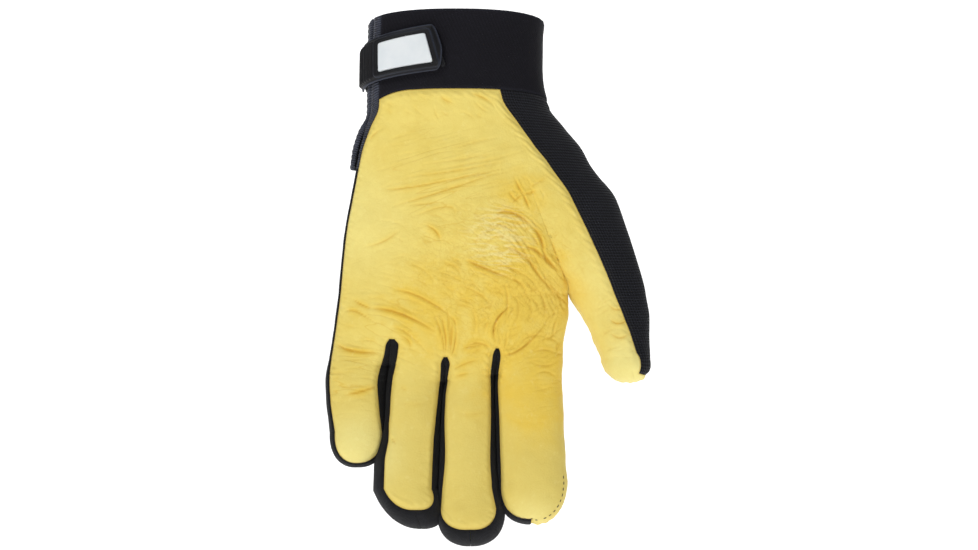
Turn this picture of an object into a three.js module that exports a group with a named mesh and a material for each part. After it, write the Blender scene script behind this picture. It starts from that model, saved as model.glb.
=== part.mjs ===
import * as THREE from 'three';

// Mechanic glove for the left hand, held up by its wrist opening: palm towards -Y, fingers down.
// The origin is the centre of the wrist opening. Lengths are in millimetres.
const LENGTH = 241.5;       // cuff edge to the tip of the middle finger
const WIDTH = 106;          // across the palm where the fingers begin
const THICK = 36;           // through the palm
const FINGER_FRONT = 11.5;  // from a finger's side line to its palm face
const FINGER_BACK = 10.5;   // from a finger's side line to its back
const ROUNDNESS = 2.3;      // how square the sections are
const CURL = 0.33;          // how far the fingers bend towards the palm
const SEAM_GAP = 0.3;       // between pieces that are sewn together
const SLOT = 0.8;           // between the sides of neighbouring fingers
const WALL = { leather: 1.4, knit: 1.6, side: 1.2, cuff: 2.2, tape: 1.6 };
const STRAP = { tall: 17, thick: 1.0, lift: 0.6 };
const TAB = { tall: 19.6, thick: 1.9, pocket: 1.1, rib: 0.7, ribs: 5, lift: 0.3 };
const PLATE = { tall: 12.8, thick: 0.7 };

// Lines on the hand. down is a share of LENGTH, the sideways columns are shares of WIDTH,
// front and back are shares of THICK, lean is the slope of the section towards the back.
const hand = table('down outer littleRing ringMiddle middleIndex indexThumb thumbSide front back lean', [
  [0.000, -0.378, -0.190, -0.050, 0.070, 0.160, 0.378, 0.70, 0.70, 0.15],
  [0.084, -0.383, -0.195, -0.050, 0.070, 0.155, 0.373, 0.68, 0.66, 0.15],
  [0.166, -0.386, -0.200, -0.050, 0.070, 0.150, 0.399, 0.60, 0.58, 0.15],
  [0.210, -0.406, -0.204, -0.045, 0.090, 0.195, 0.473, 0.57, 0.54, 0.13],
  [0.248, -0.425, -0.211, -0.040, 0.105, 0.238, 0.543, 0.56, 0.51, 0.11],
  [0.282, -0.436, -0.217, -0.037, 0.118, 0.275, 0.590, 0.55, 0.49, 0.09],
  [0.343, -0.462, -0.226, -0.034, 0.138, 0.330, 0.688, 0.54, 0.46, 0.06],
  [0.400, -0.486, -0.239, -0.035, 0.153, 0.382, 0.735, 0.52, 0.44, 0.03],
  [0.457, -0.501, -0.252, -0.039, 0.163, 0.434, 0.773, 0.49, 0.43, 0.01],
  [0.520, -0.514, -0.263, -0.041, 0.169, 0.482, 0.810, 0.45, 0.41, 0.00],
  [0.581, -0.532, -0.271, -0.043, 0.174, 0.475, 0.826, 0.41, 0.38, 0.00],
  [0.632, -0.549, -0.286, -0.046, 0.176, 0.462, 0.826, 0.37, 0.34, 0.00],
  [0.686, -0.569, -0.303, -0.054, 0.162, 0.457, 0.826, 0.34, 0.31, 0.00],
  [0.724, -0.564, -0.307, -0.066, 0.164, 0.451, 0.826, 0.34, 0.31, 0.00],
  [0.762, -0.556, -0.311, -0.069, 0.167, 0.462, 0.826, 0.34, 0.31, 0.00],
]);

// Sides of each digit, and how far the leather's edges stand in from them, as shares of WIDTH.
const sides = {
  little: table('down left right inLeft inRight', [
    [0.000, -0.378, -0.190, 0.060, 0.030],
    [0.166, -0.386, -0.200, 0.052, 0.030],
    [0.210, -0.406, -0.204, 0.034, 0.030],
    [0.282, -0.436, -0.217, 0.011, 0.030],
    [0.400, -0.486, -0.239, 0.009, 0.026],
    [0.632, -0.549, -0.286, 0.009, 0.022],
    [0.686, -0.569, -0.306, 0.020, 0.035],
    [0.724, -0.564, -0.310, 0.020, 0.026],
    [0.783, -0.547, -0.307, 0.024, 0.011],
  ]),
  ring: table('down left right inLeft inRight', [
    [0.000, -0.190, -0.050, 0.030, 0.030],
    [0.282, -0.217, -0.037, 0.030, 0.030],
    [0.632, -0.286, -0.046, 0.034, 0.022],
    [0.686, -0.301, -0.056, 0.026, 0.015],
    [0.762, -0.312, -0.070, 0.022, 0.019],
    [0.800, -0.332, -0.072, 0.041, 0.025],
    [0.838, -0.353, -0.076, 0.048, 0.026],
    [0.890, -0.356, -0.082, 0.048, 0.024],
  ]),
  middle: table('down left right inLeft inRight', [
    [0.000, -0.050, 0.070, 0.030, 0.030],
    [0.282, -0.037, 0.118, 0.030, 0.030],
    [0.651, -0.045, 0.165, 0.020, 0.020],
    [0.686, -0.052, 0.159, 0.012, 0.014],
    [0.762, -0.069, 0.164, 0.016, 0.018],
    [0.838, -0.073, 0.169, 0.024, 0.026],
    [0.880, -0.077, 0.178, 0.020, 0.028],
    [0.926, -0.080, 0.206, 0.014, 0.036],
  ]),
  index: table('down left right inLeft inRight', [
    [0.000, 0.070, 0.160, 0.020, 0.020],
    [0.166, 0.070, 0.150, 0.020, 0.020],
    [0.282, 0.118, 0.275, 0.030, 0.020],
    [0.632, 0.178, 0.462, 0.013, 0.020],
    [0.686, 0.165, 0.457, 0.013, 0.020],
    [0.762, 0.169, 0.462, 0.015, 0.020],
    [0.838, 0.174, 0.467, 0.015, 0.020],
    [0.874, 0.181, 0.477, 0.010, 0.020],
  ]),
  thumb: table('down left right inLeft inRight', [
    [0.000, 0.160, 0.378, 0.020, 0.178],
    [0.152, 0.150, 0.395, 0.016, 0.205],
    [0.166, 0.150, 0.399, 0.020, 0.204],
    [0.210, 0.195, 0.473, 0.030, 0.210],
    [0.248, 0.238, 0.543, 0.030, 0.215],
    [0.282, 0.275, 0.590, 0.030, 0.197],
    [0.343, 0.330, 0.688, 0.030, 0.198],
    [0.400, 0.382, 0.735, 0.030, 0.180],
    [0.457, 0.434, 0.773, 0.030, 0.158],
    [0.520, 0.482, 0.810, 0.030, 0.138],
    [0.562, 0.543, 0.825, 0.024, 0.115],
    [0.590, 0.572, 0.826, 0.020, 0.092],
    [0.619, 0.600, 0.826, 0.018, 0.072],
    [0.642, 0.626, 0.824, 0.016, 0.055],
  ]),
};

// Rounded tips: tip and across place the end, lid is the end of the palm face's leather,
// girth scales the finger's thickness, and cap is where the leather on the back begins.
const tips = {
  little: { tip: 0.847, across: -0.428, lid: 0.842, girth: 0.92, cap: 0.745 },
  ring: { tip: 0.959, across: -0.148, lid: 0.930, girth: 1.00, cap: 0.850 },
  middle: { tip: 0.990, across: 0.060, lid: 0.966, girth: 1.00, cap: 0.885 },
  index: { tip: 0.951, across: 0.318, lid: 0.945, girth: 1.06, cap: 0.830 },
  thumb: { tip: 0.686, across: 0.733, lid: 0.681, girth: 1.04, cap: 0.560 },
};

// Where two digits part: notch is the end of the palm leather's slit, saddle the bottom of the
// fork, and reach how far up the fork begins to open.
const forks = {
  littleRing: { notch: 0.607, saddle: 0.657, reach: 0.080 },
  ringMiddle: { notch: 0.642, saddle: 0.687, reach: 0.080 },
  middleIndex: { notch: 0.625, saddle: 0.675, reach: 0.080 },
  indexThumb: { notch: 0.445, saddle: 0.520, reach: 0.220 },
};
const CUFF_EDGE = 0.008;
const CUFF_SEAM = 0.152;
const VENT_END = 0.285;
const OWN_SIDES = 0.64;
const FLARE = 2.4;
const digits = ['little', 'ring', 'middle', 'index', 'thumb'];
const forkOf = {
  little: [null, 'littleRing'], ring: ['littleRing', 'ringMiddle'], middle: ['ringMiddle', 'middleIndex'],
  index: ['middleIndex', 'indexThumb'], thumb: ['indexThumb', null],
};
const BODY_ROWS = [
  CUFF_EDGE, 0.035, 0.07, 0.11, CUFF_SEAM, 0.185, 0.218, 0.25, 0.278, VENT_END, 0.325, 0.365, 0.405,
  0.445, 0.485, 0.52, 0.55, 0.58, 0.607, 0.625, 0.642, 0.657, 0.675, 0.687,
];
const ROW_STEP = 0.034;
const ACROSS = 3;
const BAND = 2;
const TIP_ROWS = 3;

function table(names, rows) {
  const columns = {};
  names.split(' ').forEach((name, k) => { columns[name] = rows.map((row) => row[k]); });
  return columns;
}

// Smooth reading of a table's column, with no overshoot between its rows.
function read(columns, name, down) {
  const x = columns.down;
  const y = columns[name];
  const last = x.length - 1;
  if (down <= x[0]) return y[0];
  if (down >= x[last]) return y[last];
  let k = 0;
  while (x[k + 1] < down) k += 1;
  const rise = (j) => (y[j + 1] - y[j]) / (x[j + 1] - x[j]);
  const slope = (j) => {
    if (j === 0) return rise(0);
    if (j === last) return rise(last - 1);
    const [a, b] = [rise(j - 1), rise(j)];
    return a * b <= 0 ? 0 : 2 * a * b / (a + b);
  };
  const w = x[k + 1] - x[k];
  const t = (down - x[k]) / w;
  return y[k] + t * t * (3 - 2 * t) * (y[k + 1] - y[k])
    + t * (1 - t) * ((1 - t) * slope(k) - t * slope(k + 1)) * w;
}

const smooth = (t) => { const s = Math.min(Math.max(t, 0), 1); return s * s * (3 - 2 * s); };
const mix = (a, b, t) => a + (b - a) * t;
const power = (v, e) => Math.sign(v) * Math.abs(v) ** e;
const bulge = (v) => Math.max(1 - Math.min(Math.abs(v), 1) ** ROUNDNESS, 0) ** (1 / ROUNDNESS);
const cosine = (a) => power(Math.cos(a), 2 / ROUNDNESS);
const sine = (a) => power(Math.sin(a), 2 / ROUNDNESS);
const angleOf = (share) => Math.acos(power(Math.min(Math.max(share, -0.97), 1), ROUNDNESS / 2));

// How open a fork is at a level: 0 above it, 1 at the saddle, by a rounded arch.
function opening(fork, down) {
  if (!fork) return null;
  const { saddle, reach } = forks[fork];
  const t = Math.min(Math.max((down - saddle + reach) / reach, 0), 1);
  return 1 - Math.sqrt(1 - t * t);
}

// Left and right side of a digit, in millimetres.
function sidesAt(digit, down) {
  const forksHere = forkOf[digit];
  return [0, 1].map((k) => {
    const own = read(sides[digit], k ? 'right' : 'left', down);
    const fork = forksHere[k];
    if (!fork || fork === 'indexThumb') {
      const column = digit === 'little' ? 'outer' : fork ?? 'thumbSide';
      const level = digit === 'thumb' ? forks.indexThumb.saddle : OWN_SIDES;
      return WIDTH * (down < level ? read(hand, column, down) : own);
    }
    const past = down - forks[fork].saddle;
    const shared = read(hand, fork, down);
    return WIDTH * mix(shared, own, smooth(past / 0.05)) + (k ? -0.5 : 0.5) * SLOT * smooth(past / 0.03);
  });
}

// Bend of the digits towards the palm, and the slope of their sections that goes with it.
const bendAt = (down) => -CURL * LENGTH * Math.max(down - 0.55, 0) ** 2;
const leanAt = (down) => read(hand, 'lean', down) + 2 * CURL * Math.max(down - 0.55, 0);

// The thumb stands forward of the palm, more at its outer side.
function thumbForward(down, share) {
  const root = 9 * smooth((down - 0.2) / 0.32) * share;
  return -root - 7 * smooth((down - 0.52) / 0.2);
}

// A point of the skin. share runs from -1 to 1 over the digit, height from 0 to 1 over its depth.
function place(digit, down, share, height, front, tipDown = 0, flare = 0) {
  const d = Math.min(down, sides[digit].down.at(-1));
  const [left, right] = sidesAt(digit, d);
  const x = (left + right) / 2 + (right - left) / 2 * share
    + tipDown * (WIDTH * tips[digit].across - (left + right) / 2);
  const nearSeam = smooth(1 - Math.abs(down - CUFF_SEAM) / 0.07);
  const drop = digit === 'little' ? 0.005 * (1 - share) ** 2 * nearSeam : 0;
  const across = (share + 1) / 2;
  const own = height * tips[digit].girth * (front ? FINGER_FRONT : FINGER_BACK);
  let depth = own;
  if (down < 0.7 && !tipDown) {
    const half = THICK * read(hand, front ? 'front' : 'back', d);
    const spanDepth = (a, b) => half * bulge((x - (a + b) / 2) / ((b - a) / 2));
    const [outer, thumbSide] = ['outer', 'thumbSide'].map((n) => WIDTH * read(hand, n, d));
    const whole = spanDepth(outer, thumbSide);
    const apart = opening('indexThumb', d);
    const onThumb = digit === 'thumb';
    const joined = onThumb ? own : spanDepth(sidesAt('little', d)[0], sidesAt('index', d)[1]);
    depth = apart >= 1 ? joined : mix(whole, joined, apart);
    if (!onThumb) {
      const even = smooth((d - 0.58) / 0.11);
      const edge = forkOf[digit][across < 0.5 ? 0 : 1];
      const near = !edge || edge === 'indexThumb' ? even : opening(edge, d);
      depth = mix(depth, own, mix(near, even, smooth(1 - Math.abs(share))));
    }
  }
  const forward = digit === 'thumb' ? thumbForward(down, across) : 0;
  const out = front ? -depth : depth;
  const lean = leanAt(down);
  const flat = 1 / Math.hypot(1, lean);
  return new THREE.Vector3(x - flare, bendAt(down) + forward + out * flat,
    LENGTH * (CUFF_EDGE - down - drop) - out * lean * flat);
}

// Quads of the skin, sorted by the piece that they belong to.
const quads = [];
function quad(piece, points, digit) {
  quads.push({ piece, points, digit });
}

// Points across one side of a digit at a level: band, face and band.
function stationsAt(digit, down, front) {
  const [left, right] = sidesAt(digit, down);
  const half = (right - left) / 2 / WIDTH;
  const side = sides[digit];
  const thinBack = digit === 'little' && down < VENT_END + 0.01;
  const inset = [read(side, 'inLeft', down), read(side, 'inRight', down)]
    .map((v, k) => (front ? v : Math.min(v, thinBack && !k ? 0.002 : 0.03)));
  const [angleLeft, angleRight] = inset.map((v) => angleOf(1 - v / half));
  const vent = digit === 'little' && down < VENT_END ? ventAngle(down, half) : 0;
  const stop = vent ? vent + (front ? 1 : -1) * 0.07 * Math.sqrt(1 - down / VENT_END) : 0;
  const list = [];
  const flare = vent && !front ? FLARE * smooth((down - CUFF_SEAM) / 0.1) : 0;
  for (let k = 0; k <= BAND; k += 1) {
    const angle = front ? mix(stop, angleLeft, k / BAND) : mix(-stop, angleLeft, k / BAND);
    const height = Math.abs(sine(angle));
    list.push({ share: -cosine(angle), height, front: front || angle < 0, flare: k < BAND ? flare : 0 });
  }
  for (let k = 1; k <= ACROSS; k += 1) {
    const angle = mix(angleLeft, Math.PI - angleRight, k / ACROSS);
    list.push({ share: -cosine(angle), height: sine(angle), front });
  }
  for (let k = 1; k <= BAND; k += 1) {
    const angle = mix(Math.PI - angleRight, Math.PI, k / BAND);
    list.push({ share: -cosine(angle), height: k === BAND ? 0 : sine(angle), front });
  }
  return list;
}

// The vent's line stands a little to the front of the side line.
function ventAngle(down, half) {
  const inset = 0.022 * Math.sqrt(Math.max(1 - down / VENT_END, 0)) + 0.0001;
  return angleOf(1 - inset / half);
}

function pieceAt(digit, zone, front, middle) {
  const outerLittle = digit === 'little' && zone === 'left';
  const thumbEdge = (digit === 'index' && zone === 'right') || (digit === 'thumb' && zone === 'left');
  if (outerLittle && middle < VENT_END) return front ? 'vent_binding_front' : 'vent_binding_back';
  if (middle < CUFF_SEAM) return 'cuff_band';
  if (outerLittle) return 'side_gusset_little';
  if (digit === 'thumb' && zone === 'right') return 'back_knit';
  if (thumbEdge) return front || middle > forks.indexThumb.notch ? 'palm_leather' : 'back_knit';
  if (zone !== 'face') {
    const fork = forkOf[digit][zone === 'left' ? 0 : 1];
    const pair = fork.replace(/[A-Z]/, (c) => `_${c.toLowerCase()}`);
    if (middle > forks[fork].notch) return `fourchette_${pair}`;
  }
  if (front) return 'palm_leather';
  return middle > tips[digit].cap ? `fingertip_${digit}` : 'back_knit';
}

const zoneOf = (k) => (k < BAND ? 'left' : k < BAND + ACROSS ? 'face' : 'right');

function rowsOf(digit) {
  const end = sides[digit].down.at(-1);
  const start = digit === 'thumb' ? forks.indexThumb.saddle : BODY_ROWS.at(-1);
  const rows = BODY_ROWS.filter((v) => v <= start);
  const marks = [start, tips[digit].cap, end].filter((v) => v >= start);
  for (let m = 0; m + 1 < marks.length; m += 1) {
    const count = Math.max(1, Math.round((marks[m + 1] - marks[m]) / ROW_STEP));
    for (let k = 1; k <= count; k += 1) rows.push(mix(marks[m], marks[m + 1], k / count));
  }
  return rows;
}

// Straight length of each digit, from the cuff down to where its tip begins to round.
for (const digit of digits) {
  const rows = rowsOf(digit);
  for (const front of [true, false]) {
    const grid = rows.map((down) => stationsAt(digit, down, front)
      .map((s) => place(digit, down, s.share, s.height, s.front, 0, s.flare)));
    for (let r = 0; r + 1 < rows.length; r += 1) {
      for (let k = 0; k < BAND * 2 + ACROSS; k += 1) {
        const piece = pieceAt(digit, zoneOf(k), front, (rows[r] + rows[r + 1]) / 2);
        quad(piece, [grid[r][k], grid[r][k + 1], grid[r + 1][k + 1], grid[r + 1][k]], digit);
      }
    }
  }
}

// Rounded tips: the face's grid is bent onto a half disc, and the band runs round it.
for (const digit of digits) {
  const start = sides[digit].down.at(-1);
  const { tip, lid } = tips[digit];
  const at = (x, y, front) => {
    const radius = Math.min(Math.hypot(x, y), 1);
    const height = radius > 0.9999 ? 0 : bulge(radius);
    const fuller = radius / Math.max((Math.abs(x) ** 2.4 + Math.abs(y) ** 2.4) ** (1 / 2.4), 1e-6);
    return place(digit, mix(start, tip, y * fuller), x * fuller, height, front, y * fuller);
  };
  for (const front of [true, false]) {
    const row = stationsAt(digit, start, front);
    const face = row.slice(BAND, BAND + ACROSS + 1).map((s) => s.share);
    const low = front ? (lid - start) / (tip - start) : mix((lid - start) / (tip - start), 1, 0.5);
    const discAt = (k, r) => {
      const edge = face[k] < 0 ? -face[0] : face.at(-1);
      const v = r / TIP_ROWS;
      const u = mix(face[k] / edge, 2 * k / ACROSS - 1, v);
      const [x, y] = [u * Math.sqrt(1 - v * v / 2), v * Math.sqrt(1 - u * u / 2)];
      return { x: edge * x, y: low * y, end: new THREE.Vector2(x, y).normalize() };
    };
    const disc = Array.from({ length: TIP_ROWS + 1 }, (_, r) => face.map((_share, k) => discAt(k, r)));
    const grid = disc.map((line) => line.map(({ x, y }) => at(x, y, front)));
    for (let r = 0; r < TIP_ROWS; r += 1) {
      for (let k = 0; k < ACROSS; k += 1) {
        const piece = pieceAt(digit, 'face', front, 1);
        quad(piece, [grid[r][k], grid[r][k + 1], grid[r + 1][k + 1], grid[r + 1][k]], digit);
      }
    }
    const rim = [];
    for (let r = 0; r <= TIP_ROWS; r += 1) rim.push(disc[r][0]);
    for (let k = 1; k <= ACROSS; k += 1) rim.push(disc[TIP_ROWS][k]);
    for (let r = TIP_ROWS - 1; r >= 0; r -= 1) rim.push(disc[r][ACROSS]);
    const spokes = rim.map(({ x, y, end }) => {
      const edge = new THREE.Vector2(x, y);
      const angle = angleOf(edge.length());
      return Array.from({ length: BAND + 1 }, (_, k) => {
        if (k === 0) return at(x, y, front);
        const way = edge.clone().normalize().lerp(end, k / BAND)
          .setLength(cosine(mix(angle, 0, k / BAND)));
        return at(way.x, way.y, front);
      });
    });
    for (let s = 0; s + 1 < spokes.length; s += 1) {
      const zone = s < (spokes.length - 1) / 2 ? 'left' : 'right';
      const piece = pieceAt(digit, zone, front, 1);
      for (let k = 0; k < BAND; k += 1) {
        quad(piece, [spokes[s][k], spokes[s][k + 1], spokes[s + 1][k + 1], spokes[s + 1][k]], digit);
      }
    }
  }
}

// Shared corners, with one normal each over the whole skin, so that the pieces meet in mitres.
const corners = [];
const corner = new Map();
function indexOf(point) {
  const key = [point.x, point.y, point.z].map((v) => Math.round(v * 500)).join(',');
  if (!corner.has(key)) {
    corner.set(key, corners.length);
    corners.push({ point, normal: new THREE.Vector3() });
  }
  return corner.get(key);
}

const faces = {};
for (const { piece, points, digit } of quads) {
  const ring = points.map(indexOf).filter((v, k, all) => v !== all[(k + 1) % all.length]);
  if (ring.length < 3) continue;
  const p = ring.map((v) => corners[v].point);
  const normal = new THREE.Vector3();
  p.forEach((a, k) => normal.add(new THREE.Vector3().crossVectors(a, p[(k + 1) % p.length])));
  const middle = p.reduce((sum, a) => sum.add(a), new THREE.Vector3()).divideScalar(p.length);
  const down = Math.min(CUFF_EDGE - middle.z / LENGTH, sides[digit].down.at(-1));
  const [left, right] = sidesAt(digit, Math.max(down, 0));
  const share = digit === 'thumb' ? thumbForward(down, 0.5) : 0;
  const bend = bendAt(Math.max(down, 0)) + share;
  const axis = new THREE.Vector3((left + right) / 2, bend, LENGTH * (CUFF_EDGE - down));
  if (normal.dot(middle.clone().sub(axis)) < 0) { ring.reverse(); normal.negate(); }
  ring.forEach((v) => corners[v].normal.add(normal));
  const list = faces[piece] ??= [];
  if (ring.length === 3) list.push(ring);
  else {
    const q = ring.map((v) => corners[v].point);
    const first = q[0].distanceTo(q[2]) <= q[1].distanceTo(q[3]);
    const halves = first ? [[0, 1, 2], [0, 2, 3]] : [[1, 2, 3], [1, 3, 0]];
    list.push(...halves.map((t) => t.map((k) => ring[k])));
  }
}
corners.forEach(({ normal }) => normal.normalize());

// A piece of the skin as a closed wall: its edges drawn in by half a seam gap, then thickened inwards.
function wallOf(triangles, thick) {
  const edges = new Map();
  triangles.forEach((t) => t.forEach((a, k) => {
    const b = t[(k + 1) % 3];
    if (edges.get(`${b},${a}`)) edges.delete(`${b},${a}`);
    else edges.set(`${a},${b}`, [a, b]);
  }));
  const drawn = new Map();
  for (const [a, b] of edges.values()) {
    const along = corners[b].point.clone().sub(corners[a].point).normalize();
    for (const v of [a, b]) {
      const inward = new THREE.Vector3().crossVectors(corners[v].normal, along).normalize();
      drawn.set(v, [...(drawn.get(v) ?? []), inward]);
    }
  }
  const outside = new Map();
  const inside = new Map();
  const position = [];
  const add = (p) => { position.push(p.x, p.y, p.z); return position.length / 3 - 1; };
  for (const v of new Set(triangles.flat())) {
    const p = corners[v].point.clone();
    const pulls = drawn.get(v);
    if (pulls) {
      const sum = pulls.reduce((s, a) => s.add(a), new THREE.Vector3()).normalize();
      const share = Math.max(sum.dot(pulls[0]), 0.5);
      p.addScaledVector(sum, SEAM_GAP / 2 / share);
    }
    outside.set(v, add(p));
    inside.set(v, add(p.clone().addScaledVector(corners[v].normal, -thick)));
  }
  const index = [];
  for (const [a, b, c] of triangles) {
    index.push(outside.get(a), outside.get(b), outside.get(c), inside.get(c), inside.get(b), inside.get(a));
  }
  for (const [a, b] of edges.values()) {
    const [p, q, s, t] = [outside.get(a), inside.get(a), inside.get(b), outside.get(b)];
    index.push(...(a < b ? [p, q, s, p, s, t] : [q, s, t, q, t, p]));
  }
  return solid(position, index);
}

function solid(position, index) {
  const geometry = new THREE.BufferGeometry();
  geometry.setAttribute('position', new THREE.Float32BufferAttribute(position, 3));
  geometry.setIndex(index);
  geometry.computeVertexNormals();
  return geometry;
}

// The cuff's outer surface by angle from the little finger's side line, front positive, then a lift off it.
function onCuff(angle, down, lift) {
  const front = angle >= 0;
  const point = (a, d) => {
    const [outer, side] = ['outer', 'thumbSide'].map((n) => WIDTH * read(hand, n, d));
    const half = THICK * read(hand, a >= 0 ? 'front' : 'back', d);
    const out = -half * sine(a);
    const lean = leanAt(d);
    const flat = 1 / Math.hypot(1, lean);
    return new THREE.Vector3((outer + side) / 2 - (side - outer) / 2 * cosine(a), out * flat,
      LENGTH * (CUFF_EDGE - d) - out * lean * flat);
  };
  const step = 0.02;
  const p = point(angle, down);
  const along = point(angle + (front ? step : 0), down).sub(point(angle - (front ? 0 : step), down));
  const fall = point(angle, down + 0.002).sub(point(angle, down - 0.002));
  return p.addScaledVector(along.cross(fall).normalize(), -lift);
}

// Length along the cuff from the side line to an angle, read back as an angle.
const ARC = [];
for (let k = 0, sum = 0, last = null; k <= 200; k += 1) {
  const angle = mix(-Math.PI / 2, Math.PI / 2, k / 200);
  const p = onCuff(angle, 0.08, 0);
  if (last) sum += p.distanceTo(last);
  last = p;
  ARC.push({ angle, sum });
}
const ZERO = ARC[100].sum;
function angleAt(length) {
  const k = Math.min(Math.max(ARC.findIndex((a) => a.sum - ZERO >= length), 1), 200);
  const [a, b] = [ARC[k - 1], ARC[k]];
  return mix(a.angle, b.angle, (length + ZERO - a.sum) / (b.sum - a.sum));
}

// A slab that lies along the cuff. stations are lengths from the side line with half heights,
// levels are shares of the half height, and top gives the lift of its outer face.
function slab(stations, levels, slope, bottom, top) {
  const position = [];
  const index = [];
  const count = levels.length;
  for (const [along, half] of stations) {
    for (const side of [0, 1]) {
      for (const level of levels) {
        const across = half * level;
        const down = slope[0] + slope[1] * Math.max(along, 0) + across / LENGTH;
        const slant = 0.3 * across * smooth((along - 15) / 32);
        const p = onCuff(angleAt(along + slant), down, side ? top(along, level * half) : bottom);
        position.push(p.x, p.y, p.z);
      }
    }
  }
  const at = (s, side, k) => (s * 2 + side) * count + k;
  const face = (a, b, c, d) => index.push(a, b, c, a, c, d);
  for (let s = 0; s + 1 < stations.length; s += 1) {
    for (let k = 0; k + 1 < count; k += 1) {
      face(at(s, 1, k), at(s, 1, k + 1), at(s + 1, 1, k + 1), at(s + 1, 1, k));
      face(at(s, 0, k), at(s + 1, 0, k), at(s + 1, 0, k + 1), at(s, 0, k + 1));
    }
    face(at(s, 0, 0), at(s, 1, 0), at(s + 1, 1, 0), at(s + 1, 0, 0));
    face(at(s, 1, count - 1), at(s, 0, count - 1), at(s + 1, 0, count - 1), at(s + 1, 1, count - 1));
  }
  const end = stations.length - 1;
  for (let k = 0; k + 1 < count; k += 1) {
    face(at(0, 0, k), at(0, 0, k + 1), at(0, 1, k + 1), at(0, 1, k));
    face(at(end, 0, k), at(end, 1, k), at(end, 1, k + 1), at(end, 0, k + 1));
  }
  return solid(position, index);
}

const SLOPE = [0.098, -0.00045];
const TAB_LEFT = -2;
const TAB_RIGHT = 48.5;
const POCKET = [17, 44];
const RIBBED = [1.6, 13.4];
const strapEnds = [[-47, 5], [-46.2, 7], [-44.5, 8.1]];
const strapStations = [...strapEnds];
for (let s = -42; s <= 46; s += 3.5) strapStations.push([s, STRAP.tall / 2]);

const tabBottom = STRAP.lift + STRAP.thick + TAB.lift;
const tabTop = tabBottom + TAB.thick;
const tabHalf = TAB.tall / 2;
const tabStations = [[TAB_LEFT, 0.73 * tabHalf], [TAB_LEFT + 0.8, 0.9 * tabHalf], [TAB_LEFT + 2.4, tabHalf]];
for (let k = 0; k <= TAB.ribs * 4; k += 1) tabStations.push([mix(...RIBBED, k / TAB.ribs / 4), tabHalf]);
tabStations.push([POCKET[0] - 0.3, tabHalf], [POCKET[0], tabHalf]);
for (let s = POCKET[0] + 2; s < POCKET[1] - 1; s += 2) tabStations.push([s, tabHalf]);
tabStations.push([POCKET[1], tabHalf], [POCKET[1] + 0.3, tabHalf], [TAB_RIGHT - 3, 0.96 * tabHalf],
  [TAB_RIGHT - 1, 0.91 * tabHalf], [TAB_RIGHT - 0.2, 0.75 * tabHalf], [TAB_RIGHT, 0.57 * tabHalf]);
const pocketHalf = PLATE.tall / 2 + 0.4;
const upperLevels = [pocketHalf, pocketHalf + 0.3, tabHalf - 0.7, tabHalf].map((v) => v / tabHalf);
const tabLevels = [...upperLevels.map((v) => -v).reverse(), 0, ...upperLevels];
const tabLift = (along, across) => {
  const flat = Math.abs(across) < tabHalf - 0.6;
  const rim = !flat || along < TAB_LEFT + 0.9 || along > TAB_RIGHT - 0.9 ? -0.5 : 0;
  if (along > POCKET[0] - 0.01 && along < POCKET[1] + 0.01 && Math.abs(across) < pocketHalf + 0.05) {
    return tabTop - TAB.pocket;
  }
  if (along > RIBBED[0] - 0.1 && along < RIBBED[1] + 0.1 && flat) {
    const phase = (along - RIBBED[0]) / (RIBBED[1] - RIBBED[0]) * TAB.ribs * 2 * Math.PI;
    return tabTop - TAB.rib / 2 * (1 + Math.cos(phase)) + 0.2;
  }
  return tabTop + rim;
};
const plateHalf = PLATE.tall / 2;
const plateStations = [[POCKET[0] + 0.5, plateHalf - 1], [POCKET[0] + 1, plateHalf - 0.3]];
for (let s = POCKET[0] + 2; s < POCKET[1] - 1; s += 2) plateStations.push([s, plateHalf]);
plateStations.push([POCKET[1] - 1, plateHalf - 0.3], [POCKET[1] - 0.5, plateHalf - 1]);
const plateBottom = tabTop - TAB.pocket + SEAM_GAP + 0.1;

const finish = {
  leather: { color: 0xe3cb66, roughness: 0.72, metalness: 0 },
  knit: { color: 0x17171d, roughness: 0.92, metalness: 0 },
  side: { color: 0x1b1b21, roughness: 0.85, metalness: 0 },
  cuff: { color: 0x1d1c22, roughness: 0.9, metalness: 0 },
  tape: { color: 0x20202a, roughness: 0.8, metalness: 0 },
  strap: { color: 0x18181d, roughness: 0.9, metalness: 0 },
  rubber: { color: 0x141418, roughness: 0.5, metalness: 0 },
  plate: { color: 0xe9edee, roughness: 0.35, metalness: 0 },
};

const cloth = {
  palm_leather: 'leather', back_knit: 'knit', side_gusset_little: 'side', fourchette_little_ring: 'side',
  fourchette_ring_middle: 'side', fourchette_middle_index: 'side', fingertip_little: 'leather',
  fingertip_ring: 'leather', fingertip_middle: 'leather', fingertip_index: 'leather',
  fingertip_thumb: 'leather', cuff_band: 'cuff', vent_binding_front: 'tape', vent_binding_back: 'tape',
};

const glove = new THREE.Group();
function part(name, look, geometry) {
  const mesh = new THREE.Mesh(geometry, new THREE.MeshStandardMaterial(finish[look]));
  mesh.name = name;
  glove.add(mesh);
}
for (const [name, look] of Object.entries(cloth)) part(name, look, wallOf(faces[name], WALL[look]));
const strapTop = STRAP.lift + STRAP.thick;
const plateTop = plateBottom + PLATE.thick;
part('closure_strap', 'strap', slab(strapStations, [-1, 1], SLOPE, STRAP.lift, () => strapTop));
part('pull_tab', 'rubber', slab(tabStations, tabLevels, SLOPE, tabBottom, tabLift));
part('tab_plate', 'plate', slab(plateStations, [-1, 0, 1], SLOPE, plateBottom, () => plateTop));

export default glove;
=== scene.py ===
import bpy
import numpy as np
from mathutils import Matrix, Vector
from mathutils.bvhtree import BVHTree
from mathutils.kdtree import KDTree


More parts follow.
